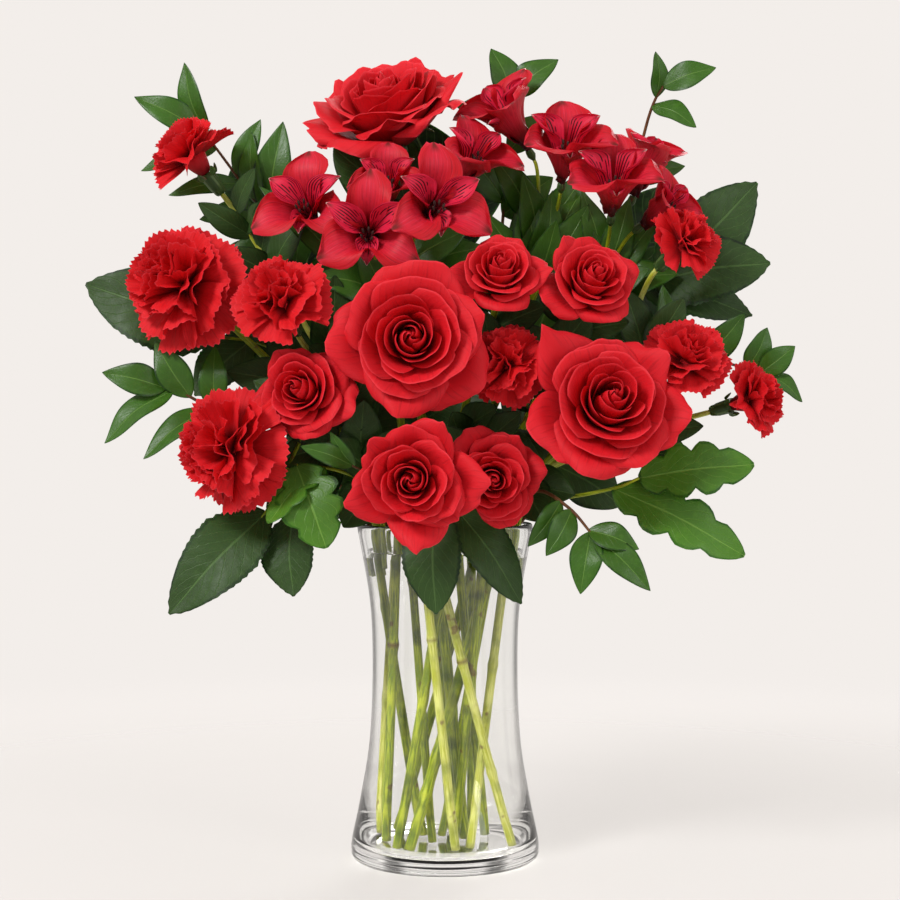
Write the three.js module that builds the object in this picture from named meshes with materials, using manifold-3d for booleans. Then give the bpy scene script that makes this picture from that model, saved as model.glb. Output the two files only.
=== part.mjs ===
// A bouquet of red roses, carnations and alstroemeria with mixed foliage, standing in water in a clear glass
// vase. Millimetres, +Z up. The origin is on the table under the middle of the vase, and the bouquet's front
// faces -Y.
import * as THREE from "three";
import { mergeVertices } from "three/addons/utils/BufferGeometryUtils.js";
import Module from "manifold-3d";

const wasm = await Module();
wasm.setup();

// ---------------------------------------------------------------- driving dimensions

const VASE = {
  height: 203, // 8 inches, the common size of this waisted vase
  wall: 3,
  floor: 7.5, // thickness of the glass under the water
  well: [[50.6, 14], [48, 8.5], [45, 7.5]], // [radius, height] where the wall rounds into the floor inside
  waist: 30, // above this height the wall is of even thickness
  sides: 18,
  // [height, outer radius] up the waisted side
  side: [[0, 53.5], [2.5, 57], [12, 56.6], [38, 51.2], [72, 45.8], [115, 44], [156, 45.6], [201.5, 53.4]],
};
const WATER = { top: 187, gap: 0.3, hole: 0.4 };
const SNAP = 9; // a leaf this near its stem sits on it, and one further off has a stalk
const SINK = 0.5; // how far a leaf's foot goes into what it grows from
const SEAT_GAP = 0.35; // between a bloom and the green hip or calyx that carries it
const FOOT = VASE.floor + 1.3; // where the cut ends of the long stems stand
const NECK = 200; // height at which a stem leaves its straight run through the vase
const TURN = THREE.MathUtils.degToRad(137.5); // the angle by which each petal follows the last
// How thick each kind of blade is at its middle.
const THICK = { leaf: 0.9, petal: 1, heartPetal: 0.8, fan: 0.9, tepal: 0.9 };
const STEPS = { whole: 5, trunk: 4, branch: 3 }; // spans of the curved run of a stem
const BRANCH = { rise: 14, settle: 14 }; // how far a branch keeps its first and its last direction
const TRUNK_SETTLE = 20; // how far a forked stem keeps its direction into the fork
const SMALL_ROSE = 70; // the petals of a rose narrower than this have fewer columns
const BIG_CARNATION = 60; // a head wider than this is a full one, and the others are minis

const COLOURS = {
  glass: { color: 0xf4f8f7, roughness: 0.04, metalness: 0, transparent: true, opacity: 0.3 },
  water: { color: 0xf2f6f3, roughness: 0.02, metalness: 0, transparent: true, opacity: 0.25 },
  rose: { color: 0xb3121b, roughness: 0.6, metalness: 0 },
  carnation: { color: 0xc5141a, roughness: 0.7, metalness: 0 },
  alstroemeria: { color: 0xb0162a, roughness: 0.5, metalness: 0 },
  flower_stem: { color: 0x6f8f2f, roughness: 0.5, metalness: 0 },
  foliage: { color: 0x1f4a26, roughness: 0.45, metalness: 0 },
};

// ---------------------------------------------------------------- the flowers and their places

// foot and neck: [x, y] where a stem stands on the vase's floor and where it leaves the mouth. A foot with a
// height of its own hangs in the water.
// rise and settle: how far the free run keeps the direction it starts with, and the one it ends with.
// at: the middle of the open face. faces: the way it looks. point: how sharply the outer petals come to a
// tip.
const ROSES = [
  { name: "rose_top", at: [-41, -18, 472], faces: [-0.24, -0.5, 0.83], width: 100, height: 48,
    petals: 10, point: 0.35, foot: [4, 24], neck: [-10, 8], thick: 3, rise: 80, settle: 70 },
  { name: "rose_mid_left", at: [-18, -125, 312], faces: [0.02, -0.99, 0.08], width: 88, height: 46,
    petals: 10, point: 0.1, foot: [11, -4], neck: [-6, -22], thick: 3, rise: 60, settle: 40 },
  { name: "rose_mid_right", at: [94, -117, 282], faces: [0.1, -0.95, 0.28], width: 90, height: 48,
    petals: 10, point: 0.1, foot: [-20, -29], neck: [32, -12], thick: 3.2, rise: 40, settle: 40 },
  { name: "rose_small_mid", at: [31, -102, 357], faces: [0.02, -0.86, 0.5], width: 56, height: 34,
    petals: 8, point: 0.3, foot: [22, 4], neck: [6, -12], thick: 2.6, rise: 70, settle: 40 },
  { name: "rose_small_right", at: [86, -97, 352], faces: [0.2, -0.88, 0.42], width: 60, height: 35,
    petals: 8, point: 0.3, foot: [-26, 18], neck: [20, -6], thick: 2.6, rise: 60, settle: 40 },
  { name: "rose_small_left", at: [-85, -106, 284], faces: [-0.28, -0.95, 0.12], width: 60, height: 36,
    petals: 8, point: 0.3, foot: [-33, -10], neck: [-27, -28], thick: 2.8, rise: 62, settle: 30 },
  { name: "rose_low_left", at: [-19, -131, 233], faces: [-0.06, -0.99, 0.03], width: 74, height: 40,
    petals: 10, point: 0.9, foot: [38, -19], neck: [-9, -43], thick: 2.6, rise: 20, settle: 22 },
  { name: "rose_low_right", at: [28, -98, 231], faces: [0.06, -0.99, -0.03], width: 60, height: 38,
    petals: 8, point: 0.5, foot: [5, -14], neck: [23, -34], thick: 2.8, rise: 18, settle: 14 },
];

// One stem may carry several heads. at: the middle of the head. fork: where the branches part.
const CARNATIONS = [
  { name: "carnation_high_left", foot: [-12, 4], neck: [-40, -18], thick: 2.7, rise: 50, heads: [
    { name: "carnation_high_left", at: [-152, -60, 345], faces: [-0.45, -0.75, 0.42],
      width: 76, settle: 40 }] },
  { name: "carnation_low_left", foot: [6, -30], neck: [-14, -38], thick: 2.6, rise: 14, heads: [
    { name: "carnation_low_left", at: [-123, -85, 249], faces: [-0.7, -0.7, -0.02],
      width: 72, settle: 30 }] },
  { name: "carnation_left", foot: [-36, 6], neck: [-26, 4], thick: 2.3, rise: 50,
    fork: [-72, -20, 296], heads: [
    { name: "carnation_mini_left", at: [-91, -90, 333], faces: [-0.2, -0.8, 0.55], width: 58, settle: 16 },
    { name: "carnation_mini_high", at: [-152, -20, 425], faces: [-0.6, -0.2, 0.78],
      width: 54, settle: 40 }] },
  { name: "carnation_mid", foot: [-27, -25], neck: [4, -29], thick: 2.8, rise: 40, heads: [
    { name: "carnation_mini_mid", at: [35, -76, 297], faces: [0.02, -0.95, 0.3], width: 50, settle: 24 }] },
  { name: "carnation_right", foot: [14, -26], neck: [36, -6], thick: 2.6, rise: 40,
    fork: [104, -30, 258], heads: [
    { name: "carnation_mini_top_right", at: [138, -67, 368], faces: [0.55, -0.62, 0.55],
      width: 46, settle: 26 },
    { name: "carnation_mini_right", at: [138, -70, 301], faces: [0.2, -0.8, 0.56], width: 52, settle: 14 },
    { name: "carnation_mini_far_right", at: [179, -52, 278], faces: [0.86, -0.42, 0.28],
      width: 46, settle: 18 }] },
];

// at: the mouth of the green ovary that the six tepals leave. long: the length of a tepal. open: how far it
// spreads.
const ALSTROEMERIA = [
  { name: "alstroemeria_left", foot: [-7, -14], neck: [-20, -16], thick: 2.4, rise: 60,
    fork: [-36, -22, 336], heads: [
    { name: "alstroemeria_left_a", at: [-76, -36, 382], faces: [-0.25, -0.86, 0.42], long: 40, open: 1 },
    { name: "alstroemeria_left_b", at: [-43, -62, 371], faces: [-0.02, -0.99, 0.08], long: 38, open: 1.1 },
    { name: "alstroemeria_left_c", at: [-32, -48, 392], faces: [-0.05, -0.8, 0.6], long: 34, open: 0.8 },
    { name: "alstroemeria_left_d", at: [-10, -62, 384], faces: [0.3, -0.93, 0.2], long: 40, open: 1.05 },
    { name: "alstroemeria_left_e", at: [8, -28, 404], faces: [0.42, -0.6, 0.68], long: 42, open: 0.75 }] },
  { name: "alstroemeria_top", foot: [14, 16], neck: [14, 14], thick: 2.4, rise: 70,
    fork: [58, -8, 352], heads: [
    { name: "alstroemeria_top_a", at: [50, -8, 428], faces: [-0.5, -0.4, 0.77], long: 50, open: 0.65 },
    { name: "alstroemeria_top_b", at: [69, -28, 406], faces: [0.06, -0.66, 0.75], long: 49, open: 0.7 }] },
  { name: "alstroemeria_right", foot: [-2, 2], neck: [28, 6], thick: 2.4, rise: 70,
    fork: [98, -14, 346], heads: [
    { name: "alstroemeria_right_a", at: [97, -42, 385], faces: [0, -0.7, 0.71], long: 48, open: 0.72 },
    { name: "alstroemeria_right_b", at: [113, -12, 400], faces: [0.34, -0.26, 0.9], long: 42, open: 0.58 },
    { name: "alstroemeria_right_c", at: [116, -34, 380], faces: [0.7, -0.48, 0.53],
      long: 37, open: 0.68 }] },
];

// ---------------------------------------------------------------- the foliage and its places

// Leaf kinds. broad: where along the leaf it is widest. full: how square its shoulders are. arch and crease:
// how far its middle rises and its halves fold, for its size. rim: points on each side. teeth: how deep each
// second one of them lies.
const KINDS = {
  sprig: { broad: 0.42, full: 0.85, arch: 0.1, crease: 0.22, rim: 3, teeth: 0 },
  rose: { broad: 0.42, full: 0.7, arch: 0.08, crease: 0.16, rim: 5, teeth: 0.1 },
  lobed: { broad: 0.45, full: 0.6, arch: 0.08, crease: 0.12, rim: 7, teeth: 0.34 },
  plain: { broad: 0.45, full: 0.75, arch: 0.08, crease: 0.16, rim: 5, teeth: 0.06 },
  ribbon: { broad: 0.4, full: 0.9, arch: 0.1, crease: 0.1, rim: 3, teeth: 0 },
};

// [base, tip, width] of leaves that grow on a flower's stem, and their kind.
const STEM_LEAVES = {
  rose_top: ["plain", [[-17, 15, 372], [-62, 2, 352], 42], [[-14, 18, 340], [30, 8, 362], 42],
    [[-12, 10, 266], [34, -8, 290], 46], [[-12, 9, 256], [-56, 8, 286], 46]],
  rose_small_left: ["rose", [[-103, -58, 212], [-157, -72, 155], 42], [[-88, -58, 210], [-86, -72, 165], 38]],
  rose_low_right: ["rose", [[7, -58, 214], [44, -64, 160], 32], [[-6, -58, 213], [-5, -64, 154], 38]],
  carnation_low_left: ["plain", [[-61, -39, 238], [-104, -46, 214], 34]],
  carnation_left: ["plain", [[-36, -1, 244], [-84, -2, 232], 42]],
  carnation_right: ["plain", [[66, -14, 239], [106, -10, 214], 36], [[102, -29, 257], [146, -28, 240], 28]],
  alstroemeria_left: ["ribbon", [[-60, -30, 352], [-110, -26, 404], 18]],
  alstroemeria_top: ["ribbon", [[56, -6, 350], [64, -20, 402], 24], [[60, -6, 350], [84, -6, 408], 26]],
  alstroemeria_right: ["ribbon", [[100, -12, 350], [88, -24, 378], 13],
    [[104, -12, 350], [128, -18, 388], 15],
    [[44, 4, 252], [92, 8, 240], 30]],
};

// Each green stem runs from its foot through the mouth and the points of its path.
const FOLIAGE = [
  { name: "sprig_top_left", kind: "sprig", foot: [-32.6, 10.9, 172], neck: [-36, 12], thick: 1.5,
    path: [[-62, 8, 290], [-98, 6, 372], [-124, 8, 410], [-146, 6, 440]],
    leaves: [
      [[-147, 6, 440], [-188, 0, 461], 19], [[-145, 6, 439], [-158, 2, 482], 18],
      [[-140, 6, 430], [-185, 6, 417], 15],
      [[-124, 8, 410], [-168, 4, 402], 14], [[-126, 8, 414], [-112, 4, 448], 16],
      [[-106, 6, 388], [-140, 2, 382], 14],
      [[-102, 6, 380], [-102, 2, 424], 22], [[-92, 7, 358], [-80, 2, 408], 22],
      [[-78, 8, 328], [-58, 0, 380], 26]] },
  { name: "sprig_left", kind: "sprig", foot: [-39.5, -6, 172], neck: [-44, -6], thick: 1.4,
    path: [[-80, -26, 246], [-121, -46, 264], [-150, -48, 280], [-162, -48, 284]],
    leaves: [
      [[-162, -48, 284], [-198, -54, 293], 19], [[-158, -48, 282], [-196, -58, 252], 20],
      [[-148, -48, 279], [-168, -50, 311], 20],
      [[-136, -47, 272], [-173, -62, 243], 18], [[-134, -47, 271], [-134, -44, 309], 17]] },
  { name: "sprig_top_centre", kind: "sprig", foot: [19.8, 21.8, 172], neck: [22, 24], thick: 1.4,
    path: [[30, 26, 320], [38, 16, 420], [41, 12, 466]],
    leaves: [
      [[39, 12, 462], [28, 10, 492], 22], [[41, 12, 464], [69, 8, 485], 21],
      [[38, 14, 452], [7, 6, 456], 20],
      [[36, 16, 430], [62, 8, 452], 18], [[34, 20, 400], [8, 14, 430], 24],
      [[35, 20, 392], [66, 12, 414], 26], [[32, 24, 350], [64, 16, 372], 28]] },
  { name: "sprig_top_right", kind: "sprig", foot: [29.8, 19.8, 172], neck: [32, 22], thick: 1.4,
    path: [[64, 22, 320], [108, 8, 400], [124, -4, 452], [131, -8, 466]],
    leaves: [
      [[127, -6, 460], [126, -12, 486], 15], [[131, -8, 466], [162, -14, 476], 18],
      [[125, -5, 455], [150, -16, 440], 17],
      [[112, 5, 412], [146, 6, 420], 17]] },
  { name: "sprig_right", kind: "sprig", foot: [39.1, 2.4, 172], neck: [43, 3], thick: 1.4,
    path: [[84, -8, 250], [132, -24, 296], [160, -30, 300], [190, -32, 292]],
    leaves: [
      [[150, -29, 299], [176, -38, 328], 20], [[134, -25, 296], [128, -34, 345], 18],
      [[178, -31, 296], [190, -32, 320], 17],
      [[186, -32, 294], [206, -34, 309], 16], [[189, -32, 292], [210, -36, 276], 15],
      [[112, -18, 280], [120, -20, 320], 22]] },
  { name: "sprig_low_right", kind: "sprig", foot: [32.1, -21.9, 172], neck: [37, -26], thick: 1.4,
    path: [[52, -52, 224], [70, -72, 216], [84, -82, 200]],
    leaves: [
      [[72, -74, 214], [57, -84, 189], 17], [[82, -81, 202], [76, -90, 168], 19],
      [[82, -81, 204], [109, -88, 193], 17],
      [[84, -82, 200], [115, -92, 170], 18], [[66, -68, 218], [47, -80, 194], 14]] },
  { name: "sprig_front", kind: "sprig", foot: [-18, -37, 178], neck: [-20, -41], thick: 1.2,
    path: [[-34, -62, 228], [-52, -86, 240]],
    leaves: [[[-52, -86, 240], [-80, -98, 251], 13], [[-51, -85, 240], [-64, -92, 259], 10]] },
  { name: "leaf_stem_front_left", kind: "lobed", foot: [-34, -24, 178], neck: [-36, -31], thick: 1.6,
    path: [[-41, -42, 224], [-60, -57, 236], [-84, -76, 240]],
    leaves: [[[-86, -78, 239], [-66, -94, 194], 38], [[-70, -65, 237], [-98, -98, 208], 24]] },
  { name: "leaf_stem_right", kind: "lobed", foot: [38.8, -14.3, 172], neck: [43, -15], thick: 1.6,
    path: [[50, -20, 220], [70, -36, 220], [98, -54, 226], [112, -58, 232]],
    leaves: [[[114, -58, 232], [177, -66, 240], 34], [[98, -54, 224], [171, -70, 188], 34]] },
  { name: "leaf_stem_high_left", kind: "rose", foot: [-39.1, 6, 172], neck: [-43, 6], thick: 1.6,
    path: [[-74, 6, 270], [-104, -2, 308], [-138, -10, 316]],
    leaves: [
      [[-140, -10, 316], [-215, -14, 347], 52], [[-116, -5, 312], [-124, -10, 366], 34],
      [[-118, -6, 310], [-150, -14, 280], 34]] },
  { name: "leaf_stem_high_right", kind: "rose", foot: [38.2, 11.3, 172], neck: [41, 13], thick: 1.6,
    path: [[80, 14, 290], [112, -6, 340], [128, -16, 350]],
    leaves: [
      [[128, -14, 352], [186, -18, 407], 46], [[124, -19, 346], [192, -30, 358], 46],
      [[120, -12, 342], [184, -14, 328], 34],
      [[97, 4, 318], [138, 0, 296], 36], [[78, 14, 288], [60, 13, 328], 34]] },
  { name: "foliage_back_left", kind: "plain", foot: [-25.8, 28.4, 165], neck: [-28, 31], thick: 1.8,
    path: [[-52, 50, 280], [-84, 62, 340], [-104, 62, 372]],
    leaves: [
      [[-104, 62, 372], [-132, 50, 430], 48], [[-96, 62, 358], [-158, 62, 352], 48],
      [[-70, 57, 312], [-128, 78, 290], 48],
      [[-44, 46, 262], [-94, 70, 226], 48], [[-84, 62, 340], [-56, 50, 396], 46]] },
  { name: "foliage_back", kind: "plain", foot: [-5.1, 35.4, 165], neck: [-6, 38], thick: 1.8,
    path: [[-6, 58, 290], [-4, 66, 350], [0, 58, 400]],
    leaves: [
      [[0, 58, 400], [-24, 44, 456], 46], [[-2, 60, 384], [36, 48, 432], 46],
      [[-4, 66, 352], [-48, 84, 374], 46],
      [[-4, 65, 344], [40, 86, 362], 46], [[-6, 55, 274], [14, 92, 236], 48]] },
  { name: "foliage_back_right", kind: "plain", foot: [22.3, 32.5, 165], neck: [24, 36], thick: 1.8,
    path: [[50, 52, 280], [86, 60, 330], [112, 54, 364]],
    leaves: [
      [[112, 54, 364], [148, 40, 412], 48], [[104, 57, 352], [166, 56, 340], 48],
      [[72, 58, 310], [126, 78, 284], 48],
      [[42, 48, 264], [94, 72, 230], 48], [[86, 60, 330], [72, 50, 388], 46]] },
];

// ---------------------------------------------------------------- building closed solids

const V = (point) => new THREE.Vector3(...point);

// A closed solid from its points and triangles, whichever way round they were listed.
function closed(points, triangles) {
  let volume = 0;
  for (const [a, b, c] of triangles) volume += points[a].dot(points[b].clone().cross(points[c]));
  const triVerts = new Uint32Array(triangles.length * 3);
  triangles.forEach(([a, b, c], i) => triVerts.set(volume < 0 ? [a, c, b] : [a, b, c], 3 * i));
  const vertProperties = new Float32Array(points.flatMap((p) => p.toArray()));
  return new wasm.Manifold(new wasm.Mesh({ numProp: 3, vertProperties, triVerts }));
}

// A closed three.js geometry as a solid.
function solidOf(geometry) {
  geometry.deleteAttribute("normal");
  geometry.deleteAttribute("uv");
  const merged = mergeVertices(geometry, 1e-4);
  return new wasm.Manifold(
    new wasm.Mesh({
      numProp: 3,
      vertProperties: merged.attributes.position.array,
      triVerts: new Uint32Array(merged.index.array),
    }),
  );
}

// Joins overlapping solids into one. A sealed hollow is filled, and a scrap that nothing holds is dropped.
function fuse(solids) {
  const joined = solids.reduce((sum, solid) => sum.add(solid));
  return biggest(biggest(joined).simplify(0.02));
}

function biggest(solid) {
  return solid.decompose().reduce((best, body) => (body.volume() > best.volume() ? body : best));
}

function meshOf(name, solid, colour) {
  const { vertProperties, triVerts } = solid.getMesh();
  const geometry = new THREE.BufferGeometry();
  geometry.setAttribute("position", new THREE.BufferAttribute(vertProperties, 3));
  geometry.setIndex(new THREE.BufferAttribute(triVerts, 1));
  geometry.computeVertexNormals();
  const mesh = new THREE.Mesh(geometry, new THREE.MeshStandardMaterial(COLOURS[colour]));
  mesh.name = name;
  return mesh;
}

// A thin curved blade: a grid of points that becomes a lens, thickest inside and sharp along its rim.
// Both faces are split into triangles alike, and no triangle has all its corners on the rim.
function blade(rows, thick) {
  const last = rows.length - 1;
  const end = rows[0].length - 1;
  const points = [];
  const front = rows.map((row) => row.map((p) => points.push(p) - 1));
  const back = front.map((row) => row.slice());
  for (let i = 1; i < last; i++) {
    for (let j = 1; j < end; j++) {
      const along = rows[i + 1][j].clone().sub(rows[i - 1][j]);
      const across = rows[i][j + 1].clone().sub(rows[i][j - 1]);
      const lift = along.cross(across).setLength(thick / 2);
      back[i][j] = points.push(rows[i][j].clone().sub(lift)) - 1;
      points[front[i][j]] = rows[i][j].clone().add(lift);
    }
  }
  const triangles = [];
  for (let i = 0; i < last; i++) {
    for (let j = 0; j < end; j++) {
      const rising = i < last / 2 === j < end / 2;
      for (const [side, flip] of [[front, false], [back, true]]) {
        const [a, b, c, d] = [side[i][j], side[i + 1][j], side[i + 1][j + 1], side[i][j + 1]];
        const pair = rising ? [[a, b, c], [a, c, d]] : [[a, b, d], [b, c, d]];
        triangles.push(...pair.map(([p, q, r]) => (flip ? [p, r, q] : [p, q, r])));
      }
    }
  }
  return closed(points, triangles);
}

// How many sides a bar has, by its thickness.
const sidesOf = (thick) => (thick < 2 ? 4 : 5);

// A round bar through the points, with a radius at each of them.
function tube(points, radii, sides = sidesOf(radii[0])) {
  const rings = [];
  const all = [];
  let normal = null;
  points.forEach((p, i) => {
    const before = points[Math.max(i - 1, 0)];
    const after = points[Math.min(i + 1, points.length - 1)];
    const toward = p.clone().sub(before).normalize().add(after.clone().sub(p).normalize()).normalize();
    if (!normal) normal = new THREE.Vector3(0.31, 0.95, 0.02);
    normal = normal.clone().addScaledVector(toward, -normal.dot(toward)).normalize();
    const binormal = toward.clone().cross(normal);
    const ring = [];
    for (let k = 0; k < sides; k++) {
      const angle = (2 * Math.PI * k) / sides;
      const spoke = normal.clone().multiplyScalar(Math.cos(angle)).addScaledVector(binormal, Math.sin(angle));
      ring.push(all.push(p.clone().addScaledVector(spoke, radii[i])) - 1);
    }
    rings.push(ring);
  });
  const triangles = [];
  for (let i = 0; i < rings.length - 1; i++) {
    for (let k = 0; k < sides; k++) {
      const next = (k + 1) % sides;
      triangles.push([rings[i][k], rings[i][next], rings[i + 1][next]]);
      triangles.push([rings[i][k], rings[i + 1][next], rings[i + 1][k]]);
    }
  }
  const [low, high] = [rings[0], rings[rings.length - 1]];
  for (let k = 1; k < sides - 1; k++) {
    triangles.push([low[0], low[k + 1], low[k]]);
    triangles.push([high[0], high[k], high[k + 1]]);
  }
  return closed(all, triangles);
}

// ---------------------------------------------------------------- leaves

const RIBS = [0.3, 0.7]; // where along its midrib a leaf's thickness is set

// The surface of a leaf from base to tip, creased along its midrib and arched: t runs along it and out across
// it.
function leafSurface([from, to], kind, face) {
  const { arch, crease } = KINDS[kind];
  const along = V(to).sub(V(from));
  const length = along.length();
  const dir = along.normalize();
  const side = dir.clone().cross(face).normalize();
  const up = side.clone().cross(dir).normalize();
  const place = (t, out) => {
    const hump = arch * length * 16 * (t * (1 - t)) ** 2;
    const spot = V(from).addScaledVector(dir, length * t).addScaledVector(side, out);
    return spot.addScaledVector(up, hump + crease * Math.abs(out));
  };
  return { place, up };
}

// A leaf: a lens whose rim is the leaf's outline, with teeth where its kind has them.
function leaf(spec, kind, face) {
  const { broad, full, rim, teeth } = KINDS[kind];
  const { place, up } = leafSurface(spec, kind, face);
  const bend = Math.log(0.5) / Math.log(broad);
  const halfWidth = (t) => (spec[2] / 2) * Math.sin(Math.PI * t ** bend) ** full;
  const points = [place(0, 0), place(1, 0)];
  const ribLine = (lift) => RIBS.map((t) => points.push(place(t, 0).addScaledVector(up, lift)) - 1);
  const [top, under] = [ribLine(THICK.leaf / 2), ribLine(-THICK.leaf / 2)];
  const triangles = [];
  const stations = Array.from({ length: rim }, (_, i) => (i + 1) / (rim + 1));
  for (const hand of [1, -1]) {
    const edge = stations.map((t, i) => {
      const notched = i % 2 === 1;
      const out = halfWidth(t) * (notched ? 1 - teeth : 1);
      return points.push(place(notched ? t - 0.02 : t, hand * out)) - 1;
    });
    for (const [rib, turned] of [[top, hand < 0], [under, hand > 0]]) {
      const add = (a, b, c) => triangles.push(turned ? [a, c, b] : [a, b, c]);
      const half = Math.ceil(rim / 2);
      add(0, edge[0], rib[0]);
      for (let i = 0; i < rim - 1; i++) {
        if (i === half - 1) add(rib[0], edge[i], rib[1]);
        add(rib[i < half - 1 ? 0 : 1], edge[i], edge[i + 1]);
      }
      add(rib[1], edge[rim - 1], 1);
    }
  }
  return closed(points, triangles);
}

// Leaves look out of the bouquet, each a little its own way.
function outward(point, i) {
  const sway = [0.25, -0.3, 0.1, -0.12, 0.34][i % 5];
  const front = point[1] > 40 ? 1 : -1;
  return new THREE.Vector3(0.003 * point[0] + sway, front, 0.35).normalize();
}

// A leaf that sits on its stem, or with a stalk that joins it to the nearest point of its stem.
function leafOnStem([from, to, width], kind, stem, i) {
  const near = nearest(stem, V(from));
  const stalked = near.distanceTo(V(from)) > SNAP;
  const root = stalked ? V(from) : near;
  const base = root.add(V(to).sub(root).setLength(-SINK));
  const spec = [base.toArray(), to, width];
  const face = outward(from, i);
  const parts = [leaf(spec, kind, face)];
  if (stalked) {
    const rib = leafSurface(spec, kind, face).place(RIBS[0], 0);
    parts.push(tube([near, base.lerp(rib, 0.25)], [1.1, 0.8], 3));
  }
  return parts;
}

// The point of a polyline that is nearest to a given one.
function nearest(stem, target) {
  let best = stem[0];
  for (let i = 0; i < stem.length - 1; i++) {
    const spot = new THREE.Line3(stem[i], stem[i + 1]).closestPointToPoint(target, true, new THREE.Vector3());
    if (spot.distanceTo(target) < best.distanceTo(target)) best = spot;
  }
  return best;
}

// ---------------------------------------------------------------- stems

const STEM_HOLES = [];

// The straight run through the vase. It also notes the plain hole that the water keeps round it.
function straightRun(foot, neck, thick) {
  const start = new THREE.Vector3(foot[0], foot[1], foot[2] ?? FOOT);
  const mouth = new THREE.Vector3(neck[0], neck[1], NECK);
  const run = mouth.clone().sub(start).normalize();
  const below = start.clone().addScaledVector(run, foot[2] ? -1 : -6);
  const above = mouth.clone().addScaledVector(run, 6);
  const wide = thick + WATER.hole;
  STEM_HOLES.push(tube([below, above], [wide, wide], sidesOf(thick)));
  return { start, mouth, run };
}

// The curved run from the mouth of the vase to a flower or a fork.
function freeRun(from, run, rise, to, faces, settle, steps) {
  const lift = from.clone().addScaledVector(run, rise);
  const land = to.clone().addScaledVector(faces, -settle);
  return new THREE.CubicBezierCurve3(from, lift, land, to).getPoints(steps);
}

// The end of a rose stem swells into the hip.
function roseStem(rose) {
  const faces = V(rose.faces).normalize();
  const top = V(rose.at).addScaledVector(faces, -rose.height - SEAT_GAP);
  const { start, mouth, run } = straightRun(rose.foot, rose.neck, rose.thick);
  const hip = 0.1 * rose.width;
  const seat = top.clone().addScaledVector(faces, -hip);
  const free = freeRun(mouth, run, rose.rise, seat, faces, rose.settle, STEPS.whole);
  const points = [start, ...free, seat.clone().addScaledVector(faces, hip * 0.5), top];
  const swell = 0.05 * rose.width + 1;
  const radii = points.map((_, i) => rose.thick - 0.1 * i);
  radii.splice(-2, 2, swell, swell * 0.8);
  const parts = [tube(points, radii)];
  return { parts, line: points.slice(1, -2) };
}

// A carnation's or alstroemeria's stem, forked where it carries more than one head, with a swollen green end
// under each head.
function forkedStem(plant, ending) {
  const { start, mouth, run } = straightRun(plant.foot, plant.neck, plant.thick);
  const parts = [];
  const lines = [];
  let [from, toward, rise] = [mouth, run, plant.rise];
  if (plant.fork) {
    const fork = V(plant.fork);
    const lean = fork.clone().sub(mouth).normalize();
    const points = [start, ...freeRun(mouth, run, plant.rise, fork, lean, TRUNK_SETTLE, STEPS.trunk)];
    parts.push(tube(points, points.map(() => plant.thick)));
    lines.push(...points.slice(1));
    [from, toward, rise] = [points[points.length - 2], lean, BRANCH.rise];
  }
  for (const head of plant.heads) {
    const faces = V(head.faces).normalize();
    const top = V(head.at).addScaledVector(faces, -ending.back(head) - SEAT_GAP);
    const seat = top.clone().addScaledVector(faces, -ending.long(head));
    const branch = plant.fork ? ending.branch : plant.thick;
    const settle = head.settle ?? BRANCH.settle;
    const free = freeRun(from, toward, rise, seat, faces, settle, plant.fork ? STEPS.branch : STEPS.whole);
    const points = [...(plant.fork ? [] : [start]), ...free];
    const waist = seat.clone().addScaledVector(faces, ending.long(head) * 0.35);
    const radii = [...points.map(() => branch), ending.wide(head), ending.wide(head) * ending.mouth];
    parts.push(tube([...points, waist, top], radii));
    lines.push(...points.slice(plant.fork ? 0 : 1));
  }
  return { parts, line: lines };
}

// What carries a head: how far behind the head's place it starts, its length and width, how wide its mouth is
// for its waist, and how thick a branch leads to it.
const CALYX = {
  back: (head) => 0.3 * head.width,
  long: (head) => 0.2 * head.width + 4,
  wide: (head) => 0.05 * head.width + 1.6,
  branch: 1.6,
  mouth: 1.15,
};
const OVARY = { back: () => 0, long: () => 7, wide: () => 2.6, branch: 1.1, mouth: 0.8 };

// A leafy stem: its stalk through the mouth and along its path, with the leaves on it.
function leafyStem({ kind, foot, neck, thick, path, leaves }) {
  const { start, mouth } = straightRun(foot, neck, thick);
  const free = new THREE.CatmullRomCurve3([mouth, ...path.map(V)]).getPoints(path.length + 1);
  const points = [start, ...free];
  const parts = [tube(points, points.map((_, i) => thick * (1 - (0.45 * i) / points.length)))];
  leaves.forEach((spec, i) => parts.push(...leafOnStem(spec, kind, free, i)));
  return fuse(parts);
}

// ---------------------------------------------------------------- blooms, each standing on its own +Z

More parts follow.
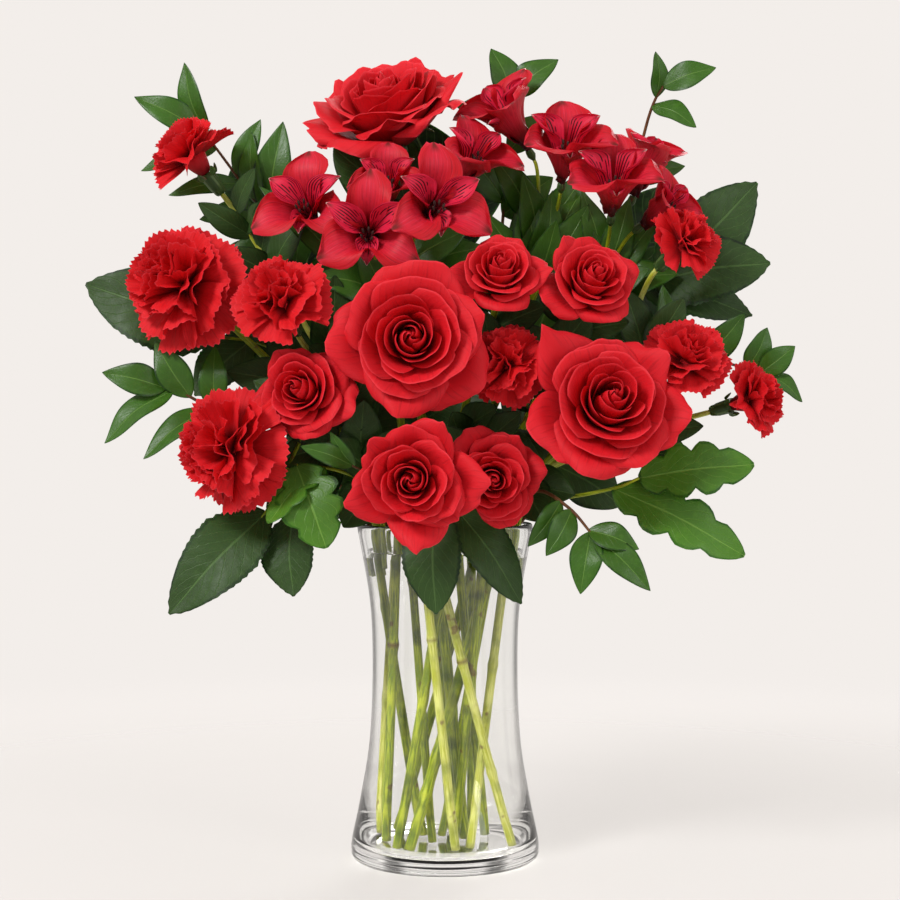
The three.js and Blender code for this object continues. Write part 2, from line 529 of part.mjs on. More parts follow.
// A rose: petals in a spiral, each wrapping those inside it, tight at the heart and rolled back at the rim.
function roseBloom({ width, height, petals, point }) {
  const radius = width / 2;
  const heart = [[0, 0], [0.28, 0.001], [0.3, 0.12], [0.1, 0.46], [0, 0.5]];
  const profile = heart.map(([r, z]) => new THREE.Vector2(r * radius, z * height));
  const parts = [solidOf(new THREE.LatheGeometry(profile, 5).rotateX(Math.PI / 2))];
  for (let k = 0; k < petals; k++) {
    const s = (k / (petals - 1)) ** 0.65;
    const inner = k < petals * 0.34;
    const half = THREE.MathUtils.degToRad(75 - 29 * s);
    const spread = [0.1 + 0.1 * s, 0.26 + 0.42 * s, 0.08 + 0.92 * s];
    const climb = [0.03, 0.42 - 0.12 * s, 1 - 0.52 * s ** 1.2];
    const grid = (inner ? [0, 0.55, 1] : [0, 0.42, 0.8, 1]).map((u, i) => {
      const wide = [0.12, 0.95, inner ? 0.62 : 1, 0.6][i];
      const columns = inner || s < 0.6 || width < SMALL_ROSE ? [-1, 0, 1] : [-1, -0.33, 0.33, 1];
      return columns.map((v) => {
        const tip = u === 1 ? 1 - Math.abs(v) : 0;
        const pointed = 0.12 * tip * point * s;
        const r = bow(u, spread) + 0.03 * v * u + pointed - 0.03 * s * u * Math.abs(v);
        const z = bow(u, climb) + 0.05 * tip * (1 - s) - 0.05 * u * s * Math.abs(v);
        const angle = TURN * k + v * half * wide;
        return new THREE.Vector3(radius * r * Math.cos(angle), radius * r * Math.sin(angle), height * z);
      });
    });
    parts.push(blade(grid, inner ? THICK.heartPetal : THICK.petal));
  }
  return fuse(parts);
}

// A quadratic curve through three numbers: the first, the one that pulls it, and the last.
const bow = (u, [from, pull, to]) => (1 - u) ** 2 * from + 2 * u * (1 - u) * pull + u * u * to;

// A carnation: rings of frilled fans that stand out of a small round core, in every direction but back.
// rings: [number of fans, degrees from the middle of the head to the ring].
const BIG_HEAD = [[1, 0], [4, 34], [5, 64], [4, 94]];
const MINI_HEAD = [[1, 0], [4, 40], [4, 84]];

function carnationBloom({ width }) {
  const radius = width / 2;
  const core = new THREE.IcosahedronGeometry(1, 0).scale(0.5 * radius, 0.5 * radius, 0.54 * radius);
  const parts = [solidOf(core.translate(0, 0, 0.46 * radius))];
  const up = new THREE.Vector3(0, 0, 1);
  const rings = width > BIG_CARNATION ? BIG_HEAD : MINI_HEAD;
  rings.forEach(([fans, degrees], ring) => {
    for (let k = 0; k < fans; k++) {
      const lean = THREE.MathUtils.degToRad(degrees);
      const turn = (2 * Math.PI * (k + 0.5 * ring)) / fans + 0.4 * ring;
      const axis = new THREE.Vector3(Math.sin(lean), 0, Math.cos(lean)).applyAxisAngle(up, turn);
      const across = up.clone().cross(axis).normalize().applyAxisAngle(axis, 0.35);
      const flat = axis.clone().cross(across);
      const half = Math.min(0.46, (Math.PI * Math.max(Math.sin(lean), 0.34)) / fans);
      const grid = [0.2, 0.68, 0.99].map((reach, i) =>
        [-1, 0, 1].map((v, j) => {
          const frill = (j % 2 ? -1 : 1) * i * 0.035;
          const notch = i === 2 && j % 2 ? 0.05 : 0;
          return new THREE.Vector3(0, 0, 0.5 * radius)
            .addScaledVector(axis, radius * (reach - 0.05 * i * v * v - notch))
            .addScaledVector(across, radius * half * [0.12, 0.8, 1.05][i] * v)
            .addScaledVector(flat, radius * frill);
        }),
      );
      parts.push(blade(grid, THICK.fan));
    }
  });
  return fuse(parts);
}

// An alstroemeria: three broad outer tepals and three narrow inner ones round the throat, the first at +Y.
function alstroemeriaBloom({ long, open }) {
  const throat = tube([new THREE.Vector3(0, 0, 0), new THREE.Vector3(0, 0, 0.2 * long)], [2.4, 4.6], 5);
  const parts = [throat];
  for (let k = 0; k < 6; k++) {
    const outer = k % 2 === 0;
    const middle = (Math.PI / 3) * k + Math.PI / 2;
    const reach = long * (outer ? 1 : 0.96) * (k === 3 ? 0.75 : 1);
    const half = outer ? [1.5, 0.27 * long, 0.35 * long, 0] : [1, 0.13 * long, 0.17 * long, 0];
    const limit = THREE.MathUtils.degToRad(outer ? 56 : 44);
    const grid = [0.08, 0.48, 0.8, 1].map((u, i) => {
      const tilt = open * (outer ? 0.62 : 0.5) * (0.35 + 0.75 * u);
      const r = i === 0 ? 1.4 : reach * u * Math.sin(tilt) + (outer ? 3.4 : 1.6);
      return [-1, 0, 1].map((v) => {
        const angle = middle + v * Math.min(limit, half[i] / r);
        return new THREE.Vector3(r * Math.cos(angle), r * Math.sin(angle), reach * u * Math.cos(tilt));
      });
    });
    parts.push(blade(grid, THICK.tepal));
  }
  return fuse(parts);
}

// Turns a bloom from its own +Z to the way it faces, with its +Y kept as near as it can be to straight up.
function pose(mesh, base, faces) {
  const z = faces.clone().normalize();
  const x = new THREE.Vector3(0, 0, 1).addScaledVector(z, -z.z).normalize().cross(z);
  const y = z.clone().cross(x);
  mesh.quaternion.setFromRotationMatrix(new THREE.Matrix4().makeBasis(x, y, z));
  mesh.position.copy(base);
  return mesh;
}

// ---------------------------------------------------------------- the vase and its water

// [radius, height] up the even part of the inside of the wall, below a given height.
function insideWall(top) {
  const points = VASE.side.filter(([z]) => z > VASE.waist && z < top);
  return points.map(([z, r]) => [r - VASE.wall, z]);
}

// The glass: a waisted wall that thickens into a heavy base, open at the top.
function vase() {
  const outside = VASE.side.map(([z, r]) => [r, z]);
  const inside = insideWall(VASE.height).reverse();
  const rim = [[VASE.side.at(-1)[1] - VASE.wall / 2, VASE.height]];
  const profile = [[0, 0], ...outside, ...rim, ...inside, ...VASE.well, [0, VASE.floor]];
  const points = profile.map(([r, z]) => new THREE.Vector2(r, z));
  return solidOf(new THREE.LatheGeometry(points, VASE.sides).rotateX(Math.PI / 2));
}

// The water: what fills the glass to just under its mouth, with a plain hole for each stem.
function water() {
  const above = VASE.side.findIndex(([z]) => z >= WATER.top);
  const [[z0, r0], [z1, r1]] = VASE.side.slice(above - 1, above + 1);
  const edge = THREE.MathUtils.mapLinear(WATER.top, z0, z1, r0, r1) - VASE.wall;
  const well = VASE.well.map(([r, z]) => [r, z + WATER.gap]).reverse();
  const wet = [...well, ...insideWall(WATER.top), [edge, WATER.top]].map(([r, z]) => [r - WATER.gap, z]);
  const profile = [[0, VASE.floor + WATER.gap], ...wet, [0, WATER.top]];
  const points = profile.map(([r, z]) => new THREE.Vector2(r, z));
  const body = solidOf(new THREE.LatheGeometry(points, VASE.sides).rotateX(Math.PI / 2));
  return STEM_HOLES.reduce((left, hole) => left.subtract(hole), body);
}

// ---------------------------------------------------------------- the bouquet

const bouquet = new THREE.Group();

// A flower's stem with the leaves that grow on it.
function stemWithLeaves(name, { parts, line }) {
  const [kind, ...leaves] = STEM_LEAVES[name] ?? ["sprig"];
  leaves.forEach((spec, i) => parts.push(...leafOnStem(spec, kind, line, i)));
  return meshOf(`${name}_stem`, fuse(parts), "flower_stem");
}

for (const rose of ROSES) {
  const faces = V(rose.faces).normalize();
  const bloom = meshOf(rose.name, roseBloom(rose), "rose");
  bouquet.add(pose(bloom, V(rose.at).addScaledVector(faces, -rose.height), faces));
  bouquet.add(stemWithLeaves(rose.name, roseStem(rose)));
}

for (const plant of CARNATIONS) {
  for (const head of plant.heads) {
    const faces = V(head.faces).normalize();
    const bloom = meshOf(head.name, carnationBloom(head), "carnation");
    bouquet.add(pose(bloom, V(head.at).addScaledVector(faces, -CALYX.back(head)), faces));
  }
  bouquet.add(stemWithLeaves(plant.name, forkedStem(plant, CALYX)));
}

for (const plant of ALSTROEMERIA) {
  for (const head of plant.heads) {
    const bloom = meshOf(head.name, alstroemeriaBloom(head), "alstroemeria");
    bouquet.add(pose(bloom, V(head.at), V(head.faces)));
  }
  bouquet.add(stemWithLeaves(plant.name, forkedStem(plant, OVARY)));
}

for (const plant of FOLIAGE) bouquet.add(meshOf(plant.name, leafyStem(plant), "foliage"));

bouquet.add(meshOf("vase", vase(), "glass"));
bouquet.add(meshOf("water", water(), "water"));

export default bouquet;
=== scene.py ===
"""A bouquet of red roses, carnations and alstroemeria in a clear glass vase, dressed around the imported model.

The tables and the functions work in millimetres, and the studio in metres. +Z is up, and the front faces -Y.
"""
import math
import random
from collections import namedtuple

import bpy
import numpy as np
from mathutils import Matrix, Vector


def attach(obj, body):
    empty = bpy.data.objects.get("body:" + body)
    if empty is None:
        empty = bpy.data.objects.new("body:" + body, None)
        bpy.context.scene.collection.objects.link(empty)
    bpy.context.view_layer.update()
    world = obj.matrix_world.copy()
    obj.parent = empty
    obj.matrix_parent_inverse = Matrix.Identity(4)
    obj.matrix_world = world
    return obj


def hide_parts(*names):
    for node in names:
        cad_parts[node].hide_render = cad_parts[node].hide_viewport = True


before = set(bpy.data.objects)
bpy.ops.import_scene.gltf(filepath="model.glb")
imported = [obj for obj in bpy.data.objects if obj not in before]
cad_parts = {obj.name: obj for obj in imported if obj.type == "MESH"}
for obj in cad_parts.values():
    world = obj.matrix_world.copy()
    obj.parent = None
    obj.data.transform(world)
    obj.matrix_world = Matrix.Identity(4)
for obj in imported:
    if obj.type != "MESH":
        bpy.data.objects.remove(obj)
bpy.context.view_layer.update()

MM = 0.001
FOOT = 8.8  # height at which the cut ends of the long stems stand
MOUTH = 200  # height at which a stem leaves its straight run through the vase
BACK = 40  # behind this a leaf turns its face to the back
SNAP = 9  # a leaf this near its stem sits on it, and one further off has a stalk
SEAT_GAP = 0.35  # between a bloom and what carries it
PETAL, LEAF, SEPAL = 0.5, 0.7, 0.6  # how thick the blades are
NO_LEAVES = ("plain", [])

# ---------------------------------------------------------------- the flowers and their places

# A stem: foot is where it stands and neck where it crosses the mouth of the vase. It keeps its line above
# that for rise, and may fork.
Stem = namedtuple("Stem", "name foot neck radius rise heads fork", defaults=(None,))
# A bloom: at is its middle and faces the way it looks. Its stem comes straight to it over settle.
# point: how pointed a rose's petals are. guards: its outermost ones, as (turn from the right, reach, half its
# spread, point, curl), in degrees. more: petals above the usual count. drop: how far its rim lies below its
# heart, for its height. ripple: how wavy its petals are. long and open: of an alstroemeria's tepals.
Rose = namedtuple("Rose", "name at faces width height point settle guards more drop ripple",
                  defaults=(0, 0.4, 1))
Carnation = namedtuple("Carnation", "name at faces width settle")
Alstroemeria = namedtuple("Alstroemeria", "name at faces long open settle", defaults=(14,))

ROSES = [
    Stem("rose_top", foot=(4, 24), neck=(-10, 8), radius=3, rise=80, heads=[
        Rose("rose_top", (-41, -18, 472), (-0.24, -0.5, 0.83), width=100, height=48, point=0.35,
             settle=70, more=5, drop=0.2, ripple=2.2, guards=[
            (150, 0.96, 50, 0.6, 60), (-62, 0.96, 48, 0.5, 70), (22, 1.0, 48, 0.6, 60),
            (84, 1.0, 56, 0.3, 50), (214, 0.98, 42, 0.9, 60), (-20, 1.0, 44, 0.6, 60),
            (-108, 0.94, 46, 0.6, 90)])]),
    Stem("rose_mid_left", foot=(11, -4), neck=(-6, -22), radius=3, rise=60, heads=[
        Rose("rose_mid_left", (-18, -125, 312), (0.02, -0.99, 0.08), width=88, height=46, point=0.1,
             settle=40, guards=[
            (140, 1.0, 56, 0.2, 90), (18, 1.02, 50, 0.5, 70), (-100, 1.02, 54, 0.5, 95),
            (82, 1.04, 56, 0.15, 60), (182, 1.03, 50, 0.8, 60), (-38, 1.0, 52, 0.4, 90)])]),
    Stem("rose_mid_right", foot=(-20, -29), neck=(32, -12), radius=3.2, rise=40, heads=[
        Rose("rose_mid_right", (94, -117, 282), (0.1, -0.95, 0.28), width=90, height=48, point=0.1,
             settle=40, guards=[
            (95, 0.96, 56, 0.3, 60), (-60, 1.04, 50, 0.2, 90), (40, 1.02, 48, 0.7, 50),
            (-112, 1.06, 52, 0.3, 120), (-14, 1.04, 46, 0.8, 40), (205, 1.06, 42, 0.4, 40),
            (130, 1.13, 36, 1.0, 20)])]),
    Stem("rose_small_mid", foot=(22, 4), neck=(6, -12), radius=2.6, rise=70, heads=[
        Rose("rose_small_mid", (31, -102, 357), (0.02, -0.86, 0.5), width=56, height=34, point=0.3,
             settle=40, guards=[
            (60, 0.96, 56, 0.3, 80), (-90, 1.0, 56, 0.3, 110), (0, 1.06, 46, 0.9, 50),
            (186, 1.12, 40, 0.9, 40)])]),
    Stem("rose_small_right", foot=(-26, 18), neck=(20, -6), radius=2.6, rise=60, heads=[
        Rose("rose_small_right", (86, -97, 352), (0.2, -0.88, 0.42), width=60, height=35, point=0.3,
             settle=40, guards=[
            (120, 1.04, 46, 0.9, 50), (-70, 1.0, 54, 0.4, 100), (20, 1.0, 52, 0.4, 80),
            (205, 1.06, 46, 0.8, 60)])]),
    Stem("rose_small_left", foot=(-33, -10), neck=(-27, -28), radius=2.8, rise=62, heads=[
        Rose("rose_small_left", (-85, -106, 284), (-0.28, -0.95, 0.12), width=60, height=36, point=0.3,
             settle=30, guards=[
            (120, 0.98, 56, 0.6, 60), (-80, 1.0, 52, 0.7, 90), (30, 1.0, 50, 0.8, 60),
            (200, 1.02, 52, 0.9, 70), (-20, 1.02, 48, 0.8, 60)])]),
    Stem("rose_low_left", foot=(38, -19), neck=(-9, -43), radius=2.6, rise=20, heads=[
        Rose("rose_low_left", (-19, -131, 233), (-0.06, -0.99, 0.03), width=74, height=40, point=0.9,
             settle=22, guards=[
            (136, 1.0, 46, 0.8, 50), (-40, 1.0, 46, 0.8, 80), (62, 1.06, 42, 1.0, 40),
            (198, 1.08, 42, 1.0, 40), (-86, 1.06, 42, 1.0, 50), (-3, 1.1, 42, 1.0, 30)])]),
    Stem("rose_low_right", foot=(5, -14), neck=(23, -34), radius=2.8, rise=18, heads=[
        Rose("rose_low_right", (28, -98, 231), (0.06, -0.99, -0.03), width=60, height=38, point=0.5,
             settle=14, guards=[
            (60, 1.04, 50, 0.8, 50), (-60, 1.0, 52, 0.3, 90), (10, 1.02, 50, 0.5, 70),
            (120, 1.04, 48, 0.7, 40)])]),
]

CARNATIONS = [
    Stem("carnation_high_left", foot=(-12, 4), neck=(-40, -18), radius=2.7, rise=50, heads=[
        Carnation("carnation_high_left", (-152, -60, 345), (-0.45, -0.75, 0.42), width=76, settle=40)]),
    Stem("carnation_low_left", foot=(6, -30), neck=(-14, -38), radius=2.6, rise=14, heads=[
        Carnation("carnation_low_left", (-123, -85, 249), (-0.7, -0.7, -0.02), width=72, settle=30)]),
    Stem("carnation_left", foot=(-36, 6), neck=(-26, 4), radius=2.3, rise=50, fork=(-72, -20, 296), heads=[
        Carnation("carnation_mini_left", (-91, -90, 333), (-0.2, -0.8, 0.55), width=58, settle=16),
        Carnation("carnation_mini_high", (-152, -20, 425), (-0.6, -0.2, 0.78), width=54, settle=40)]),
    Stem("carnation_mid", foot=(-27, -25), neck=(4, -29), radius=2.8, rise=40, heads=[
        Carnation("carnation_mini_mid", (35, -76, 297), (0.02, -0.95, 0.3), width=50, settle=24)]),
    Stem("carnation_right", foot=(14, -26), neck=(36, -6), radius=2.6, rise=40, fork=(104, -30, 258), heads=[
        Carnation("carnation_mini_top_right", (138, -67, 368), (0.55, -0.62, 0.55), width=46, settle=26),
        Carnation("carnation_mini_right", (138, -70, 301), (0.2, -0.8, 0.56), width=52, settle=14),
        Carnation("carnation_mini_far_right", (179, -52, 278), (0.86, -0.42, 0.28), width=46, settle=18)]),
]

ALSTROEMERIA = [
    Stem("alstroemeria_left", foot=(-7, -14), neck=(-20, -16), radius=2.4, rise=60,
         fork=(-36, -22, 336), heads=[
        Alstroemeria("alstroemeria_left_a", (-76, -36, 382), (-0.25, -0.86, 0.42), long=40, open=1),
        Alstroemeria("alstroemeria_left_b", (-43, -62, 371), (-0.02, -0.99, 0.08), long=38, open=1.1),
        Alstroemeria("alstroemeria_left_c", (-32, -48, 392), (-0.05, -0.8, 0.6), long=34, open=0.8),
        Alstroemeria("alstroemeria_left_d", (-10, -62, 384), (0.3, -0.93, 0.2), long=40, open=1.05),
        Alstroemeria("alstroemeria_left_e", (8, -28, 404), (0.42, -0.6, 0.68), long=42, open=0.75)]),
    Stem("alstroemeria_top", foot=(14, 16), neck=(14, 14), radius=2.4, rise=70, fork=(58, -8, 352), heads=[
        Alstroemeria("alstroemeria_top_a", (50, -8, 428), (-0.5, -0.4, 0.77), long=50, open=0.65),
        Alstroemeria("alstroemeria_top_b", (69, -28, 406), (0.06, -0.66, 0.75), long=49, open=0.7)]),
    Stem("alstroemeria_right", foot=(-2, 2), neck=(28, 6), radius=2.4, rise=70, fork=(98, -14, 346), heads=[
        Alstroemeria("alstroemeria_right_a", (97, -42, 385), (0, -0.7, 0.71), long=48, open=0.72),
        Alstroemeria("alstroemeria_right_b", (113, -12, 400), (0.34, -0.26, 0.9), long=42, open=0.58),
        Alstroemeria("alstroemeria_right_c", (116, -34, 380), (0.7, -0.48, 0.53), long=37, open=0.68)]),
]

# ---------------------------------------------------------------- the foliage and its places

# broad: where along a leaf it is widest. full: how square its shoulders are. arch and crease: how far it bows
# and folds. saw and notch: how deep its teeth and lobes are. pairs: of side veins. pleat: its folds between
# them.
Kind = namedtuple("Kind", "look broad full arch crease saw notch pairs pleat", defaults=(0, 0, 7, 1))
KINDS = {
    "sprig": Kind("leaf_glossy", broad=0.42, full=0.85, arch=0.1, crease=0.22, pleat=0.3),
    "rose": Kind("leaf_dark", broad=0.42, full=0.7, arch=0.08, crease=0.16, saw=0.07, pairs=9),
    "lobed": Kind("leaf_bright", broad=0.45, full=0.6, arch=0.08, crease=0.12, notch=0.34),
    "plain": Kind("leaf_dark", broad=0.45, full=0.75, arch=0.08, crease=0.16),
    "ribbon": Kind("leaf_glossy", broad=0.4, full=0.9, arch=0.1, crease=0.1, pleat=0.3),
}

# foot, neck and radius are a stem's, and path is its way on from there. A leaf is (x, y and z of its base,
# x, y and z of its tip, width).
Foliage = namedtuple("Foliage", "name kind foot neck radius path leaves")

FOLIAGE = [
    Foliage("sprig_top_left", "sprig", foot=(-32.6, 10.9, 172), neck=(-36, 12), radius=1.5, path=[
        (-62, 8, 290), (-98, 6, 372), (-124, 8, 410), (-146, 6, 440)], leaves=[
        (-147, 6, 440, -188, 0, 461, 19), (-145, 6, 439, -158, 2, 482, 18), (-140, 6, 430, -185, 6, 417, 15),
        (-124, 8, 410, -168, 4, 402, 14), (-126, 8, 414, -112, 4, 448, 16), (-106, 6, 388, -140, 2, 382, 14),
        (-102, 6, 380, -102, 2, 424, 22), (-92, 7, 358, -80, 2, 408, 22), (-78, 8, 328, -58, 0, 380, 26)]),
    Foliage("sprig_left", "sprig", foot=(-39.5, -6, 172), neck=(-44, -6), radius=1.4, path=[
        (-80, -26, 246), (-121, -46, 264), (-150, -48, 280), (-162, -48, 284)], leaves=[
        (-162, -48, 284, -198, -54, 293, 19), (-158, -48, 282, -196, -58, 252, 20),
        (-148, -48, 279, -168, -50, 311, 20), (-136, -47, 272, -173, -62, 243, 18),
        (-134, -47, 271, -134, -44, 309, 17)]),
    Foliage("sprig_top_centre", "sprig", foot=(19.8, 21.8, 172), neck=(22, 24), radius=1.4, path=[
        (30, 26, 320), (38, 16, 420), (41, 12, 466)], leaves=[
        (39, 12, 462, 28, 10, 492, 22), (41, 12, 464, 69, 8, 485, 21), (38, 14, 452, 7, 6, 456, 20),
        (36, 16, 430, 62, 8, 452, 18), (34, 20, 400, 8, 14, 430, 24), (35, 20, 392, 66, 12, 414, 26),
        (32, 24, 350, 64, 16, 372, 28)]),
    Foliage("sprig_top_right", "sprig", foot=(29.8, 19.8, 172), neck=(32, 22), radius=1.4, path=[
        (64, 22, 320), (108, 8, 400), (124, -4, 452), (131, -8, 466)], leaves=[
        (127, -6, 460, 126, -12, 486, 15), (131, -8, 466, 162, -14, 476, 18),
        (125, -5, 455, 150, -16, 440, 17), (112, 5, 412, 146, 6, 420, 17)]),
    Foliage("sprig_right", "sprig", foot=(39.1, 2.4, 172), neck=(43, 3), radius=1.4, path=[
        (84, -8, 250), (132, -24, 296), (160, -30, 300), (190, -32, 292)], leaves=[
        (150, -29, 299, 176, -38, 328, 20), (134, -25, 296, 128, -34, 345, 18),
        (178, -31, 296, 190, -32, 320, 17), (186, -32, 294, 206, -34, 309, 16),
        (189, -32, 292, 210, -36, 276, 15), (112, -18, 280, 120, -20, 320, 22)]),
    Foliage("sprig_low_right", "sprig", foot=(32.1, -21.9, 172), neck=(37, -26), radius=1.4, path=[
        (52, -52, 224), (70, -72, 216), (84, -82, 200)], leaves=[
        (72, -74, 214, 57, -84, 189, 17), (82, -81, 202, 76, -90, 168, 19), (82, -81, 204, 109, -88, 193, 17),
        (84, -82, 200, 115, -92, 170, 18), (66, -68, 218, 47, -80, 194, 14)]),
    Foliage("sprig_front", "sprig", foot=(-18, -37, 178), neck=(-20, -41), radius=1.2, path=[
        (-34, -62, 228), (-52, -86, 240)], leaves=[
        (-52, -86, 240, -80, -98, 251, 13), (-51, -85, 240, -64, -92, 259, 10)]),
    Foliage("leaf_stem_front_left", "lobed", foot=(-34, -24, 178), neck=(-36, -31), radius=1.6, path=[
        (-41, -42, 224), (-60, -57, 236), (-84, -76, 240)], leaves=[
        (-86, -78, 239, -66, -94, 194, 38), (-70, -65, 237, -98, -98, 208, 24)]),
    Foliage("leaf_stem_right", "lobed", foot=(38.8, -14.3, 172), neck=(43, -15), radius=1.6, path=[
        (50, -20, 220), (70, -36, 220), (98, -54, 226), (112, -58, 232)], leaves=[
        (114, -58, 232, 177, -66, 240, 34), (98, -54, 224, 171, -70, 188, 34)]),
    Foliage("leaf_stem_high_left", "rose", foot=(-39.1, 6, 172), neck=(-43, 6), radius=1.6, path=[
        (-74, 6, 270), (-104, -2, 308), (-138, -10, 316)], leaves=[
        (-140, -10, 316, -215, -14, 347, 52), (-116, -5, 312, -124, -10, 366, 34),
        (-118, -6, 310, -150, -14, 280, 34)]),
    Foliage("leaf_stem_high_right", "rose", foot=(38.2, 11.3, 172), neck=(41, 13), radius=1.6, path=[
        (80, 14, 290), (112, -6, 340), (128, -16, 350)], leaves=[
        (128, -14, 352, 186, -18, 407, 46), (124, -19, 346, 192, -30, 358, 46),
        (120, -12, 342, 184, -14, 328, 34), (97, 4, 318, 138, 0, 296, 36), (78, 14, 288, 60, 13, 328, 34)]),
    Foliage("foliage_back_left", "plain", foot=(-25.8, 28.4, 165), neck=(-28, 31), radius=1.8, path=[
        (-52, 50, 280), (-84, 62, 340), (-104, 62, 372)], leaves=[
        (-104, 62, 372, -132, 50, 430, 48), (-96, 62, 358, -158, 62, 352, 48),
        (-70, 57, 312, -128, 78, 290, 48), (-44, 46, 262, -94, 70, 226, 48),
        (-84, 62, 340, -56, 50, 396, 46)]),
    Foliage("foliage_back", "plain", foot=(-5.1, 35.4, 165), neck=(-6, 38), radius=1.8, path=[
        (-6, 58, 290), (-4, 66, 350), (0, 58, 400)], leaves=[
        (0, 58, 400, -24, 44, 456, 46), (-2, 60, 384, 36, 48, 432, 46), (-4, 66, 352, -48, 84, 374, 46),
        (-4, 65, 344, 40, 86, 362, 46), (-6, 55, 274, 14, 92, 236, 48)]),
    Foliage("foliage_back_right", "plain", foot=(22.3, 32.5, 165), neck=(24, 36), radius=1.8, path=[
        (50, 52, 280), (86, 60, 330), (112, 54, 364)], leaves=[
        (112, 54, 364, 148, 40, 412, 48), (104, 57, 352, 166, 56, 340, 48), (72, 58, 310, 126, 78, 284, 48),
        (42, 48, 264, 94, 72, 230, 48), (86, 60, 330, 72, 50, 388, 46)]),
]

# The leaves on the stems of flowers, as (kind, leaves).
STEM_LEAVES = {
    "rose_top": ("plain", [
        (-17, 15, 372, -62, 2, 352, 42), (-14, 18, 340, 30, 8, 362, 42), (-12, 10, 266, 34, -8, 290, 46),
        (-12, 9, 256, -56, 8, 286, 46)]),
    "rose_small_left": ("rose", [(-103, -58, 212, -157, -72, 155, 42), (-88, -58, 210, -86, -72, 165, 38)]),
    "rose_low_right": ("rose", [(7, -58, 214, 44, -64, 160, 32), (-6, -58, 213, -5, -64, 154, 38)]),
    "carnation_low_left": ("plain", [(-61, -39, 238, -104, -46, 214, 34)]),
    "carnation_left": ("plain", [(-36, -1, 244, -84, -2, 232, 42)]),
    "carnation_right": ("plain", [(66, -14, 239, 106, -10, 214, 36), (102, -29, 257, 146, -28, 240, 28)]),
    "alstroemeria_left": ("ribbon", [(-60, -30, 352, -110, -26, 404, 18)]),
    "alstroemeria_top": ("ribbon", [(56, -6, 350, 64, -20, 402, 24), (60, -6, 350, 84, -6, 408, 26)]),
    "alstroemeria_right": ("ribbon", [
        (100, -12, 350, 88, -24, 378, 13), (104, -12, 350, 128, -18, 388, 15), (44, 4, 252, 92, 8, 240, 30)]),
}

